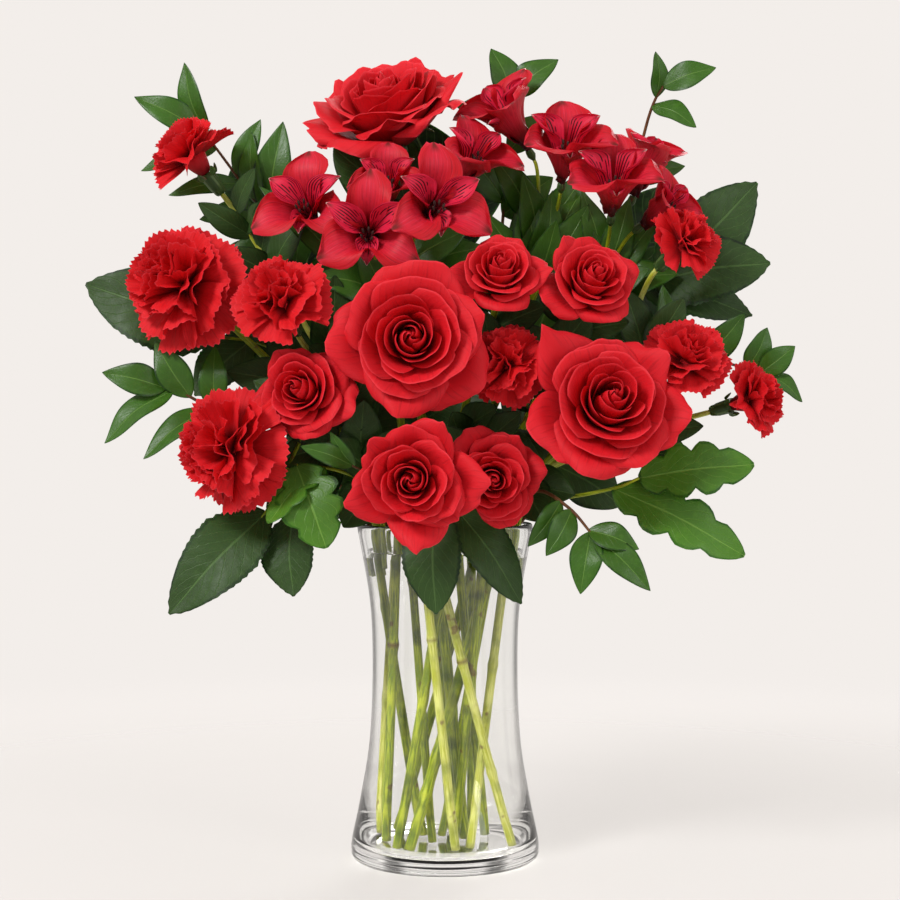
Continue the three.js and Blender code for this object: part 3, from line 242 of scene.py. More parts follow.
# More leaves, inside the bouquet and over its back, by the stem that bears them.
FILL = {
    "sprig_top_left": ("sprig", [
        (-98, 6, 372, -136, 2, 360, 22), (-90, 8, 352, -128, 10, 340, 24), (-72, 8, 314, -108, 12, 318, 26),
        (-110, 7, 392, -150, 10, 388, 18), (-94, 7, 362, -112, 20, 402, 22), (-108, 7, 388, -98, 0, 446, 24),
        (-113, 8, 396, -117, 0, 440, 18)]),
    "rose_top": ("plain", [
        (-20, 14, 384, -68, 12, 432, 42), (-22, 12, 392, 18, 16, 432, 40), (-24, 10, 400, -44, 24, 448, 38),
        (-13, 12, 300, -52, 20, 330, 46), (-13, 13, 310, 26, 22, 336, 46), (-18, 14, 376, 20, -4, 396, 34)]),
    "rose_small_mid": ("plain", [
        (27, -50, 312, 58, -62, 331, 24), (14, -24, 250, 30, -62, 273, 26), (12, -22, 244, 4, -62, 270, 26),
        (24, -42, 296, 6, -60, 322, 26), (24, -40, 290, 23, -62, 328, 26)]),
    "rose_small_right": ("plain", [
        (62, -42, 302, 84, -58, 329, 24), (60, -40, 298, 42, -62, 320, 24), (66, -44, 308, 106, -60, 322, 26),
        (50, -32, 280, 64, -58, 308, 26), (46, -28, 270, 68, -56, 264, 26), (42, -24, 258, 56, -58, 242, 24),
        (70, -50, 316, 64, -44, 352, 26), (44, -26, 262, 32, -58, 286, 24)]),
    "carnation_mid": ("rose", [(16, -40, 246, 44, -60, 270, 24), (14, -38, 240, -6, -66, 262, 24)]),
    "rose_small_left": ("rose", [
        (-50, -44, 246, -46, -72, 277, 26), (-46, -40, 238, -68, -76, 252, 24),
        (-42, -38, 230, -28, -70, 260, 26), (-58, -54, 258, -40, -62, 300, 28),
        (-66, -60, 266, -110, -60, 288, 26), (-60, -52, 250, -98, -58, 242, 24),
        (-62, -56, 256, -98, -52, 268, 24)]),
    "alstroemeria_left": ("ribbon", [
        (-12, -24, 380, 12, -18, 428, 24), (0, -26, 392, 34, -14, 440, 20), (-30, -24, 350, 14, -36, 378, 26),
        (-32, -24, 344, 6, -42, 350, 28), (-40, -24, 344, -76, -40, 350, 24),
        (-38, -24, 340, -52, -46, 372, 20), (-22, -24, 356, 24, -30, 368, 24)]),
    "alstroemeria_top": ("ribbon", [
        (52, -2, 326, 44, 8, 396, 28), (58, -4, 344, 34, 6, 384, 24), (48, 2, 300, 76, 8, 372, 30),
        (56, -6, 350, 48, -16, 402, 26), (58, -6, 352, 86, -18, 394, 24), (52, -4, 336, 24, -18, 390, 26),
        (48, -2, 324, 8, -10, 376, 28), (54, -6, 346, 66, -30, 384, 22), (52, -9, 388, 28, -20, 424, 20),
        (56, -7, 376, 86, -6, 416, 22), (54, -7, 366, 46, -24, 412, 24)]),
    "alstroemeria_right": ("ribbon", [
        (92, -8, 326, 110, 4, 396, 28), (90, -8, 322, 74, 4, 384, 26), (96, -10, 338, 134, 0, 372, 22),
        (96, -12, 340, 120, -38, 354, 22), (92, -12, 328, 114, -42, 330, 24),
        (98, -14, 346, 138, -28, 352, 24), (94, -12, 334, 86, -36, 362, 22), (94, -12, 350, 82, -12, 404, 22),
        (98, -14, 352, 110, -20, 398, 20)]),
    "carnation_left": ("plain", [
        (-58, -10, 270, -112, -14, 286, 42), (-48, -6, 258, -74, 8, 312, 42),
        (-60, -14, 276, -92, -40, 246, 34), (-66, -16, 288, -48, -48, 332, 30),
        (-64, -14, 284, -78, -58, 308, 28), (-112, -19, 366, -96, -34, 404, 20),
        (-118, -19, 374, -146, -26, 394, 16), (-100, -20, 348, -130, -34, 366, 20),
        (-104, -20, 352, -82, -34, 386, 22), (-66, -18, 296, -64, -44, 350, 28),
        (-126, -20, 388, -112, -30, 414, 14), (-120, -19, 378, -104, -34, 392, 16)]),
    "carnation_right": ("plain", [
        (118, -46, 308, 138, -56, 336, 22), (116, -44, 304, 104, -48, 342, 22),
        (100, -28, 252, 150, -50, 262, 26), (92, -24, 244, 136, -46, 244, 26)]),
    "foliage_back_right": ("plain", [
        (52, 50, 284, 62, 14, 330, 44), (60, 53, 292, 104, 22, 306, 44), (38, 46, 256, 72, 14, 262, 42),
        (30, 42, 236, 62, 70, 200, 36), (64, 54, 300, 40, 76, 330, 40), (92, 60, 340, 126, 70, 314, 36),
        (100, 58, 348, 138, 62, 378, 34), (34, 44, 246, 16, 72, 268, 38), (90, 59, 336, 84, 22, 372, 40),
        (70, 56, 306, 60, 20, 350, 42), (106, 56, 356, 112, 22, 390, 34)]),
    "foliage_back_left": ("plain", [
        (-48, 48, 270, -60, 14, 318, 44), (-40, 44, 250, -78, 14, 250, 42), (-62, 54, 300, -30, 76, 318, 40),
        (-36, 42, 240, -70, 70, 202, 36), (-88, 62, 348, -122, 70, 322, 36), (-54, 52, 286, -94, 76, 262, 40),
        (-90, 62, 352, -78, 24, 384, 40), (-72, 58, 316, -60, 24, 350, 42),
        (-98, 62, 364, -112, 26, 388, 34)]),
    "foliage_back": ("plain", [
        (-6, 54, 270, -30, 18, 300, 46), (-6, 54, 274, 26, 18, 298, 46), (-6, 48, 240, 8, 10, 262, 44),
        (-6, 50, 250, -36, 76, 220, 40), (-5, 44, 230, 12, 74, 198, 34), (-5, 60, 318, 30, 82, 292, 44),
        (-5, 60, 308, -42, 80, 322, 40), (-2, 62, 376, -42, 74, 400, 36), (-3, 62, 370, 14, 26, 402, 40),
        (-4, 65, 350, -22, 28, 376, 40), (-1, 60, 388, -12, 26, 424, 36), (-5, 60, 316, 12, 24, 350, 42)]),
    "carnation_high_left": ("plain", [
        (-84, -30, 284, -128, -38, 294, 26), (-80, -28, 278, -118, -44, 266, 24)]),
    "leaf_stem_high_left": ("rose", [(-84, 4, 284, -104, -6, 326, 34), (-100, 0, 302, -134, 4, 334, 34)]),
    "leaf_stem_high_right": ("rose", [(84, 12, 296, 128, 4, 284, 38), (104, 0, 328, 84, -14, 362, 30)]),
    "rose_mid_right": ("plain", [(40, -24, 226, 76, -44, 222, 30), (44, -30, 230, 58, -58, 206, 26)]),
    "carnation_low_left": ("plain", [(-40, -36, 228, -58, -66, 204, 30), (-70, -44, 240, -98, -66, 216, 32)]),
}

# ---------------------------------------------------------------- materials

LOOKS = {}


def srgb(colour):
    """A colour given in 0 to 255 as the shader's linear values."""
    return tuple((c / 255 / 12.92 if c <= 10 else ((c / 255 + 0.055) / 1.055) ** 2.4) for c in colour) + (1,)


class Nodes:
    """Wires the nodes of a material or of the world."""

    def __init__(self, owner):
        owner.use_nodes = True
        self.tree = owner.node_tree

    def feed(self, socket, value):
        """Links a socket to another node's output, or sets it to a value."""
        if isinstance(value, bpy.types.NodeSocket):
            self.tree.links.new(value, socket)
        else:
            socket.default_value = value

    def node(self, kind, **inputs):
        """A new node with the inputs that are named."""
        node = self.tree.nodes.new("ShaderNode" + kind)
        for name, value in inputs.items():
            self.feed(node.inputs[name.replace("_", " ")], value)
        return node

    def math(self, operation, *values, kind="Math"):
        node = self.node(kind)
        node.operation = operation
        for socket, value in zip(node.inputs, values):
            self.feed(socket, value)
        return node.outputs[0]

    def times(self, a, b):
        return self.math("MULTIPLY", a, b)

    def step(self, value, low, high, to_low=0, to_high=1, smooth=True):
        """Goes from to_low to to_high as the value goes from low to high, and stays there beyond them."""
        node = self.node("MapRange", Value=value, From_Min=low, From_Max=high, To_Min=to_low, To_Max=to_high)
        node.interpolation_type = "SMOOTHSTEP" if smooth else "LINEAR"
        return node.outputs[0]


class Shader(Nodes):
    """A material, kept in LOOKS. along, across and kind say which spot of a blade or stem is painted."""

    def __init__(self, name, **values):
        LOOKS[name] = bpy.data.materials.new(name)
        super().__init__(LOOKS[name])
        self.tree.nodes.clear()
        self.bsdf = self.node("BsdfPrincipled", **values)
        self.out = self.node("OutputMaterial", Surface=self.bsdf.outputs[0])
        spot = self.node("Attribute")
        spot.attribute_name = "spot"
        self.spot = spot.outputs["Vector"]
        self.along, self.across, self.kind = self.node("SeparateXYZ", Vector=self.spot).outputs
        self.place = self.node("TexCoord").outputs["Object"]

    def noise(self, scale, detail, vector=None, stretch=None):
        vector = vector or self.place
        if stretch:
            vector = self.math("MULTIPLY", vector, stretch, kind="VectorMath")
        return self.node("TexNoise", Scale=scale, Detail=detail, Vector=vector).outputs["Fac"]

    def dashes(self, lines, rate):
        """Broken lines along a petal, close together: 1 on a dash and 0 between."""
        row = self.times(self.across, lines)
        middle = self.math("ABSOLUTE", self.math("SUBTRACT", self.math("FRACT", row), 0.5))
        cells = self.node("CombineXYZ", X=self.times(self.along, rate), Z=self.times(self.kind, 40),
                          Y=self.times(self.math("FLOOR", row), 3.3))
        broken = self.noise(1, 1, cells.outputs[0])
        return self.times(self.step(middle, 0.1, 0.26, 1, 0), self.step(broken, 0.44, 0.5))

    def mix(self, amount, *colours):
        node = self.node("Mix", Factor=amount)
        node.data_type = "RGBA"
        for socket, colour in zip([s for s in node.inputs if s.type == "RGBA"], colours):
            self.feed(socket, srgb(colour) if isinstance(colour, tuple) else colour)
        return next(s for s in node.outputs if s.type == "RGBA")

    def paint(self, ground, coats):
        """The base colour: a ground, and over it one coat after another, each an amount and a colour."""
        for amount, colour in coats:
            ground = self.mix(amount, ground, colour)
        self.feed(self.bsdf.inputs["Base Color"], ground)

    def bump(self, height, strength, distance):
        node = self.node("Bump", Strength=strength, Distance=distance, Height=height)
        self.feed(self.bsdf.inputs["Normal"], node.outputs[0])

    def thin_out(self, amount, colour=(1, 1, 1, 1)):
        """Lets light straight through the surface, by an amount and with a tint."""
        both = self.node("MixShader")
        clear = self.node("BsdfTransparent", Color=colour)
        for socket, value in zip(both.inputs, (amount, self.bsdf.outputs[0], clear.outputs[0])):
            self.feed(socket, value)
        self.feed(self.out.inputs["Surface"], both.outputs[0])


def tepal_marks(s):
    """An alstroemeria's pale middle and streaks, dark dashes, painted shade down in the throat, brown tips and
    white points.
    """
    def inner(least, most):
        """Least on the outer tepals, and most on the inner ones, whose kind is near 1."""
        return s.step(s.kind, 0.3, 0.6, least, most)

    off = s.math("ABSOLUTE", s.across)
    past_throat = s.step(s.along, 0.2, 0.5)
    streaks = s.step(s.noise(1, 2, s.spot, (1.6, 30, 9)), 0.52, 0.72, 0, 0.4)
    dashed = s.times(s.step(s.along, 0.1, 0.25), s.step(s.along, 0.78, 0.95, 1, 0))
    return [
        (s.times(s.step(s.along, 0.25, 0.5), s.step(off, 0.1, 0.7, 0.45, 0)), (226, 44, 72)),
        (s.times(inner(0, 0.75), past_throat), (228, 36, 74)),
        (s.times(streaks, past_throat), (238, 72, 98)),
        (s.times(s.dashes(6.5, 5), s.times(dashed, inner(0.15, 1))), (30, 2, 8)),
        # painted shade down in the throat of the funnel
        (s.step(s.along, 0.02, 0.3, 0.95, 0), (44, 2, 8)),
        (s.times(s.step(s.along, 0.86, 0.97), s.step(off, 0.05, 0.32, 0.8, 0)), (60, 34, 20)),
        (s.times(s.step(s.along, 0.985, 0.998), inner(0, 0.7)), (236, 214, 204)),
    ]


def petal_look(name, shade_and_vein, main, light, roughness, sheen, veined, marks=lambda s: []):
    """Petals: painted shade at the foot, where they crowd into the bloom, a painted highlight at the very rim,
    and fine veins along them.
    """
    s = Shader(name, Roughness=roughness, Specular_IOR_Level=0.2, Sheen_Weight=sheen, Sheen_Roughness=0.4,
               Sheen_Tint=srgb(light), Subsurface_Weight=0.15, Subsurface_Radius=(0.003, 0.0005, 0.0004),
               Subsurface_Scale=1.0)
    veins = s.noise(1, 3, s.spot, (2.2, 16, 7))
    # the ground colour is painted shade at the petal's foot, which gives way to the main colour toward its
    # middle
    s.paint(shade_and_vein, [
        (s.step(s.along, 0.05, 0.6), main),
        (s.step(s.noise(60, 4), 0.35, 0.75, 0, 0.3), light),
        (s.step(veins, 0.5, 0.75, 0, veined), shade_and_vein),
        # a painted highlight along the very rim
        (s.step(s.along, 0.965, 1.0, 0, 0.7), light)] + marks(s))
    s.bump(s.math("ADD", s.times(veins, 0.8), s.times(s.noise(1400, 2), 0.2)), 0.4, 0.0008)


def leaf_look(name, dark, main, light, vein, roughness, pairs, slant, width, show):
    """Leaves: a pale midrib and side veins, blotches between them, and a paler underside (kind 1)."""
    s = Shader(name, Specular_IOR_Level=0.32, Subsurface_Weight=0.08, Subsurface_Scale=1.0,
               Subsurface_Radius=(0.001, 0.002, 0.0006))
    off = s.math("ABSOLUTE", s.across)
    row = s.math("SUBTRACT", s.times(s.along, pairs), s.times(off, slant))
    from_vein = s.math("ABSOLUTE", s.math("SUBTRACT", s.math("FRACT", row), 0.5))
    side = s.times(s.step(from_vein, 0.0, width, 1, 0), s.step(off, 0.75, 1.0, show, 0.1 * show))
    net = s.math("MAXIMUM", side, s.step(off, 0.02, 0.055, 1, 0))
    s.paint(dark, [
        (s.step(s.noise(28, 3), 0.3, 0.7), main),
        (s.step(s.noise(210, 4), 0.45, 0.8, 0, 0.5), light),
        (net, vein),
        (s.step(s.kind, 0.4, 0.9, 0, 0.55), light)])
    rough = s.math("ADD", s.times(s.step(s.noise(160, 3), 0.3, 0.7), 0.12), roughness)
    s.feed(s.bsdf.inputs["Roughness"], rough)
    s.bump(s.math("SUBTRACT", s.times(s.noise(900, 3), 0.35), s.times(net, 0.6)), 0.5, 0.0008)


def stem_look(name, main, light, dark, roughness):
    """Stems: streaks along them, blotches, brown scars, and brown at a joint (kind 1)."""
    s = Shader(name, Roughness=roughness, Specular_IOR_Level=0.3, Subsurface_Weight=0.12,
               Subsurface_Radius=(0.002, 0.003, 0.001), Subsurface_Scale=1.0)
    streak = s.noise(1, 3, s.spot, (1.5, 9, 1))
    scars = s.step(s.noise(95, 2), 0.66, 0.72, 0, 0.75)
    s.paint(main, [
        (s.step(streak, 0.35, 0.7), light),
        (s.step(s.noise(70, 3), 0.45, 0.75, 0, 0.7), dark),
        (s.math("MAXIMUM", scars, s.step(s.kind, 0.3, 1.0, 0, 0.85)), (104, 66, 26))])
    s.bump(s.math("ADD", streak, s.times(s.noise(600, 2), 0.4)), 0.4, 0.0006)


def plain_look(name, first, second, scale, roughness):
    """Small parts: two colours in blotches."""
    s = Shader(name, Roughness=roughness, Specular_IOR_Level=0.4)
    s.paint(first, [(s.step(s.noise(scale, 3), 0.35, 0.7), second)])
    s.bump(s.noise(scale * 3, 2), 0.3, 0.0005)


def clear_look(name, tint, ior):
    """Glass or water: it bends what is seen through it, and throws a light tinted shadow."""
    tint = srgb(tint)
    s = Shader(name, Base_Color=tint, Roughness=0.0, IOR=ior, Transmission_Weight=1.0)
    shade = tuple(0.94 * c for c in tint[:3]) + (1,)
    s.thin_out(s.node("LightPath").outputs["Is Shadow Ray"], shade)


# The first colour of a petal look is painted shade at the petals' feet and also the colour of their veins; the
# third is a paler tone in blotches, the sheen's tint and a painted highlight at the rim.
petal_look("rose", (100, 10, 14), (220, 26, 38), (240, 56, 68), 0.62, 0.05, 0.26)
# the dark core deep in a rose's heart: painted shade
plain_look("rose_heart", (90, 0, 10), (130, 4, 16), 300, 0.6)
petal_look("carnation", (112, 10, 12), (220, 24, 32), (240, 54, 66), 0.68, 0.06, 0.26)
petal_look("alstroemeria", (104, 6, 16), (200, 18, 32), (230, 44, 66), 0.5, 0.04, 0.5, tepal_marks)
leaf_look("leaf_dark", (15, 34, 8), (31, 58, 19), (62, 92, 38), (88, 120, 64), 0.45, 9, 3.2, 0.07, 0.5)
leaf_look("leaf_glossy", (17, 46, 6), (35, 78, 13), (76, 120, 38), (112, 148, 70), 0.3, 7, 2.4, 0.05, 0.2)
leaf_look("leaf_bright", (28, 68, 8), (50, 100, 15), (94, 144, 44), (126, 166, 76), 0.34, 7, 2.8, 0.07, 0.45)
plain_look("leaf_rib", (76, 106, 44), (104, 134, 62), 200, 0.5)
stem_look("stem", (112, 132, 0), (190, 198, 44), (44, 64, 0), 0.35)
stem_look("stem_pale", (182, 186, 50), (228, 228, 134), (110, 120, 14), 0.4)
stem_look("calyx", (52, 78, 36), (92, 118, 62), (30, 52, 22), 0.45)
stem_look("twig", (92, 48, 30), (124, 86, 44), (60, 34, 24), 0.45)
plain_look("stamen", (96, 6, 20), (60, 4, 14), 300, 0.5)
plain_look("anther", (40, 16, 16), (70, 44, 34), 900, 0.8)
plain_look("cut", (206, 208, 150), (228, 228, 190), 400, 0.7)
clear_look("glass", (252, 253, 252), 1.5)
clear_look("water", (254, 253, 253), 1.12)

# ---------------------------------------------------------------- making meshes


def new_object(name, data):
    thing = bpy.data.objects.new(name, data)
    bpy.context.scene.collection.objects.link(thing)
    return thing


def unit(vector):
    vector = np.asarray(vector, float)
    return vector / np.linalg.norm(vector)


def quads(table, flipped=False):
    """The faces between the rows and columns of a table of point numbers."""
    a, b, c, d = table[:-1, :-1], table[1:, :-1], table[1:, 1:], table[:-1, 1:]
    return np.stack((a, d, c, b) if flipped else (a, b, c, d), axis=-1).reshape(-1, 4).tolist()


def spots_on(along, across, kind=0.0):
    """What the materials paint by: how far along and across a blade its points are, and its kind."""
    return np.stack(np.broadcast_arrays(along, across, kind), axis=-1)


class Piece:
    """Collects closed bodies, each with a look, and becomes one object that stands for a CAD node."""

    def __init__(self, node, slot):
        self.node, self.slot = node, slot
        self.points, self.faces, self.spots, self.rims, self.looks, self.of_face = [], [], [], [], [], []
        self.count = 0

    def look_number(self, look):
        if look not in self.looks:
            self.looks.append(look)
        return self.looks.index(look)

    def add(self, points, faces, spots, look, rims=None):
        """One closed body. rims says which of its points lie on a sharp rim."""
        self.points.append(points)
        self.spots.append(spots)
        self.rims.append(np.zeros(len(points), bool) if rims is None else rims)
        self.faces += [[self.count + i for i in face] for face in faces]
        self.of_face += [self.look_number(look)] * len(faces)
        self.count += len(points)

    def sheet(self, grid, thick, spots, look, under=0.0):
        """A thin blade from a grid of points: two faces that meet at its rim. under marks the back."""
        rows, columns = grid.shape[:2]
        normal = np.cross(np.gradient(grid, axis=0), np.gradient(grid, axis=1))
        normal /= np.maximum(np.linalg.norm(normal, axis=2, keepdims=True), 1e-12)
        inner = np.zeros((rows, columns), bool)
        inner[1:-1, 1:-1] = True
        lift = normal * (thick / 2)
        front = np.where(inner[..., None], grid + lift, grid).reshape(-1, 3)
        back = (grid - lift)[inner]
        above = np.arange(rows * columns).reshape(rows, columns)
        below = above.copy()
        below[inner] = rows * columns + np.arange(len(back))
        back_spots = spots[inner] + np.array([0, 0, under])
        self.add(np.vstack([front, back]), quads(above) + quads(below, flipped=True),
                 np.vstack([spots.reshape(-1, 3), back_spots]), look,
                 np.concatenate([~inner.reshape(-1), np.zeros(len(back), bool)]))

    def tube(self, points, radii, look, sides=10, marks=0, foot_look=None):
        """A round bar through the points. marks gives its kind along it. foot_look is for its first end."""
        points = np.asarray(points, float)
        radii, marks = np.broadcast_to(radii, len(points)), np.broadcast_to(marks, len(points))
        tangent = np.gradient(points, axis=0)
        tangent /= np.maximum(np.linalg.norm(tangent, axis=1, keepdims=True), 1e-12)
        far = np.concatenate([[0], np.cumsum(np.linalg.norm(np.diff(points, axis=0), axis=1))])
        angles = np.linspace(0, 2 * np.pi, sides, endpoint=False)
        normal = np.array([0.31, 0.95, 0.02])  # any direction that no bar follows
        body = []
        for point, toward, radius in zip(points, tangent, radii):
            normal = unit(normal - toward * (normal @ toward))
            side = np.cross(toward, normal)
            body.append(point + radius * (np.outer(np.cos(angles), normal) + np.outer(np.sin(angles), side)))
        rings = np.arange(len(points) * sides).reshape(-1, sides)
        around = quads(np.hstack([rings, rings[:, :1]]), flipped=True)
        caps = [rings[0, ::-1].tolist(), rings[-1].tolist()]
        spots = spots_on(far[:, None] / 25, np.cos(angles) * 0.6, marks[:, None])
        self.add(np.vstack(body), around + caps, spots.reshape(-1, 3), look)
        if foot_look:
            self.of_face[-2] = self.look_number(foot_look)

    def finish(self):
        """Makes the object, and lets it stand for its node."""
        name = self.node + "_visual"
        mesh = bpy.data.meshes.new(name)
        mesh.from_pydata((np.vstack(self.points) * MM).tolist(), [], self.faces)
        spots = mesh.attributes.new("spot", "FLOAT_VECTOR", "POINT")
        spots.data.foreach_set("vector", np.vstack(self.spots).astype(np.float32).ravel())
        for look in self.looks:
            mesh.materials.append(LOOKS[look])
        mesh.polygons.foreach_set("material_index", self.of_face)
        mesh.polygons.foreach_set("use_smooth", [True] * len(self.faces))
        ends = np.empty(len(mesh.edges) * 2, np.int32)
        mesh.edges.foreach_get("vertices", ends)
        on_rim = np.concatenate(self.rims)[ends.reshape(-1, 2)]
        mesh.attributes.new("sharp_edge", "BOOLEAN", "EDGE").data.foreach_set("value", on_rim.all(axis=1))
        thing = new_object(name, mesh)
        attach(thing, "root")
        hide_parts(self.node)


def pose_axes(faces):
    """The axes of a bloom: +Z the way it faces and +Y as near as it can be to straight up."""
    z = unit(faces)
    up = unit(np.array([0, 0, 1.0]) - z * z[2])
    return np.array([np.cross(up, z), up, z])


def outward_from(axes, angle):
    """The direction at an angle round the way a bloom faces."""
    return math.cos(angle) * axes[0] + math.sin(angle) * axes[1]


def bezier(a, b, c, d, steps):
    t = np.linspace(0, 1, steps + 1)[:, None]
    return (1 - t) ** 3 * a + 3 * t * (1 - t) ** 2 * b + 3 * t * t * (1 - t) * c + t ** 3 * d


def bow(u, start, pull, end):
    """A quadratic curve through three numbers: the first, the one that pulls it, and the last."""
    return (1 - u) ** 2 * start + 2 * u * (1 - u) * pull + u * u * end


def smooth_path(points, per_span):
    """A smooth curve through the points."""
    p = np.asarray(points, float)
    p = np.vstack([2 * p[0] - p[1], p, 2 * p[-1] - p[-2]])
    out = []
    for a, b, c, d in zip(p[:-3], p[1:-2], p[2:-1], p[3:]):
        for t in np.linspace(0, 1, per_span, endpoint=False):
            bend = (2 * a - 5 * b + 4 * c - d) * t ** 2 + (3 * b - a - 3 * c + d) * t ** 3
            out.append(0.5 * (2 * b + (c - a) * t + bend))
    return np.array(out + [p[-2]])


def walk(lean, step):
    """How far out and how far up the points of a line lie that leans by these angles, a step apart."""
    moves = step * np.sin(lean), step * np.cos(lean)
    return [np.cumsum(move, axis=0) - move for move in moves]


# ---------------------------------------------------------------- leaves

SWAY = (0.25, -0.3, 0.1, -0.12, 0.34)  # how far to one side the leaves of a stem look, one after another
LOBES = ((0.23, 1.0), (0.48, 0.95), (0.73, 0.8))  # where a lobed leaf is notched, and how deep for its notch
TEETH = 17  # along each edge of a toothed leaf


def nearest(line, target):
    """The point of a polyline that is nearest to a given one."""
    best = line[0]
    for a, b in zip(line[:-1], line[1:]):
        ab = b - a
        t = np.clip((target - a) @ ab / max(ab @ ab, 1e-9), 0, 1)
        spot = a + t * ab
        if np.linalg.norm(spot - target) < np.linalg.norm(best - target):
            best = spot
    return best


def leaf(piece, base, tip, width, kind, face, rng):
    """One leaf: creased along its midrib, arched, pleated between its veins, with its kind's edge."""
    kind = KINDS[kind]
    length = np.linalg.norm(tip - base)
    along = (tip - base) / length
    side = unit(np.cross(along, face))
    up = np.cross(side, along)
    teeth, rows, columns = (TEETH, 3 * TEETH + 1, 13) if kind.saw else (1, 26, 13)
    t, a = np.linspace(0, 1, rows)[:, None], np.linspace(-1, 1, columns)
    off, body = np.abs(a), np.sin(np.pi * t)
    # the outline: half its width along the leaf, less its teeth and its notches
    bend = math.log(0.5) / math.log(kind.broad)
    half = width / 2 * np.sin(np.pi * np.clip(t, 0.004, 0.996) ** bend) ** kind.full
    tooth = t * teeth % 1
    half = half * (1 - kind.saw * (1 - tooth) * body ** 0.3)
    for middle, depth in LOBES:
        half = half * (1 - kind.notch * depth * np.exp(-((t - middle) / 0.045) ** 2))
    out = half * a
    far = t * length - (0.35 * length / teeth * off ** 2 * tooth if kind.saw else 0)
    # the height: arched, creased, wavy toward its edge, pleated and twisted
    phase, twist = rng.uniform(0, 6), rng.uniform(-0.12, 0.12)
    arch = kind.arch * length * 16 * (t * (1 - t)) ** 2
    crease = kind.crease * np.abs(out) * (1 - 0.25 * off)
    wave = 0.035 * width * np.sin(t * 9 + phase + 2 * np.sign(a)) * off ** 2 * body
    pleat = 0.011 * width * np.abs(np.sin(np.pi * (t * kind.pairs - 1.6 * off))) * (1 - off ** 3) * body
    rise = arch + crease + wave - kind.pleat * pleat + twist * out * t
    grid = base + along * far[..., None] + side * out[..., None] + up * rise[..., None]
    piece.sheet(grid, LEAF, spots_on(t, a), kind.look, under=1.0)
    rib = grid[t[:, 0] < 0.86, columns // 2][::2] - up * 0.25
    piece.tube(rib, np.linspace(0.55, 0.2, len(rib)), "leaf_rib", 5)


def leaves(piece, growth, line, rng, bark):
    """The leaves of a stem, given as their kind and a list, each on the line or on a stalk from it."""
    kind, specs = growth
    for i, spec in enumerate(specs):
        base, tip, width = np.array(spec[:3], float), np.array(spec[3:6], float), spec[6]
        near = nearest(line, base)
        stalked = np.linalg.norm(near - base) > SNAP
        root = base if stalked else near
        toward = unit(tip - root)
        face = unit([0.003 * base[0] + SWAY[i % len(SWAY)], 1 if base[1] > BACK else -1, 0.35])
        leaf(piece, root - 0.5 * toward, tip, width, kind, face, rng)
        if stalked:
            bend = near * 0.4 + root * 0.6 + [0, 0, 2]
            stalk = bezier(near, bend, root - toward * 5, root + toward * 4, 8)
            piece.tube(stalk, np.linspace(1.2, 0.7, len(stalk)), bark, 7)


# ---------------------------------------------------------------- stems

# heights of the joints on each stem in the vase, as the picture shows them
JOINTS = {
    "carnation_mid": (100, 152), "rose_mid_right": (44, 66, 148), "carnation_low_left": (137,),
    "rose_low_left": (57, 123), "carnation_high_left": (152,), "rose_small_left": (132,),
    "alstroemeria_left": (170, 84), "carnation_right": (118,), "carnation_left": (96, 150),
    "rose_top": (120,), "rose_mid_left": (92, 160), "rose_small_mid": (74,), "rose_small_right": (140,),
    "rose_low_right": (96,), "alstroemeria_right": (60,), "alstroemeria_top": (110,),
}
PALE = ("carnation_low_left", "rose_low_left", "carnation_right", "carnation_left")
FORK_SETTLE, FORK_RISE = 20, 14  # how far a stem comes straight to its fork, and a branch goes on straight


def straight_run(plant):
    """Where a stem stands, where it leaves the vase, and its direction between them."""
    foot, neck = plant.foot, plant.neck
    start = np.array(foot if len(foot) == 3 else (*foot, FOOT), float)
    mouth = np.array((*neck, MOUTH), float)
    return start, mouth, unit(mouth - start)


def long_stem(piece, points, radii, look):
    """The main run of a flower stem: swellings at its joints, and a pale cut foot."""
    points = smooth_path(points, 3)
    radii = np.interp(np.linspace(0, 1, len(points)), np.linspace(0, 1, len(radii)), radii)
    # the straight run, which the path has in 3 spans, gets points enough for its joints
    points = np.vstack([np.linspace(points[0], points[3], 46)[:-1], points[3:]])
    radii = np.concatenate([np.full(45, radii[0]), radii[3:]])
    marks = np.zeros(len(points))
    for height in JOINTS[piece.node.removesuffix("_stem")]:
        off, in_vase = points[:, 2] - height, points[:, 2] < MOUTH
        radii = radii * (1 + 0.28 * np.exp(-(off / 2.6) ** 2) * in_vase)
        marks = np.maximum(marks, np.exp(-(off / 1.3) ** 2) * in_vase)
    piece.tube(points, radii, look, 12, marks, "cut")


def sepal(piece, base, axes, angle, length, width, curl):
    """A narrow pointed green blade that leans away from its stem and curls back."""
    rows, columns = 12, 5
    t, a = np.linspace(0, 1, rows)[:, None], np.linspace(-1, 1, columns)
    half = width / 2 * np.sin(np.pi * (0.12 + 0.88 * t) ** 0.7) ** 0.8
    r, z = walk(np.radians(20) + curl * t, length / (rows - 1))
    out, over = outward_from(axes, angle), outward_from(axes, angle + math.pi / 2)
    r = r + 0.5 * np.abs(a) * half
    grid = base + out * r[..., None] + axes[2] * z[..., None] + over * (half * a)[..., None]
    piece.sheet(grid, SEPAL, spots_on(t, a), "calyx")


def hip(piece, plant, rose, seat, axes, long, rng):
    """A rose's green hip, with five sepals that curl back from its rim."""
    stem, swell = plant.radius - 0.6, 0.05 * rose.width + 1
    u = np.linspace(0, 1, 9)
    radii = stem + (swell - stem) * np.sin(np.pi * np.clip(u, 0, 0.62) / 1.24) ** 1.5
    piece.tube(seat + axes[2] * (u * (long + 0.2))[:, None], radii, "calyx", 14)
    for i in range(5):
        angle = 2 * math.pi * i / 5 + rng.uniform(-0.2, 0.2)
        rim = seat + axes[2] * (long - 1) + outward_from(axes, angle) * swell * 0.8
        sepal(piece, rim, axes, angle, 0.3 * rose.width + 4, 6.5, math.radians(rng.uniform(75, 150)))


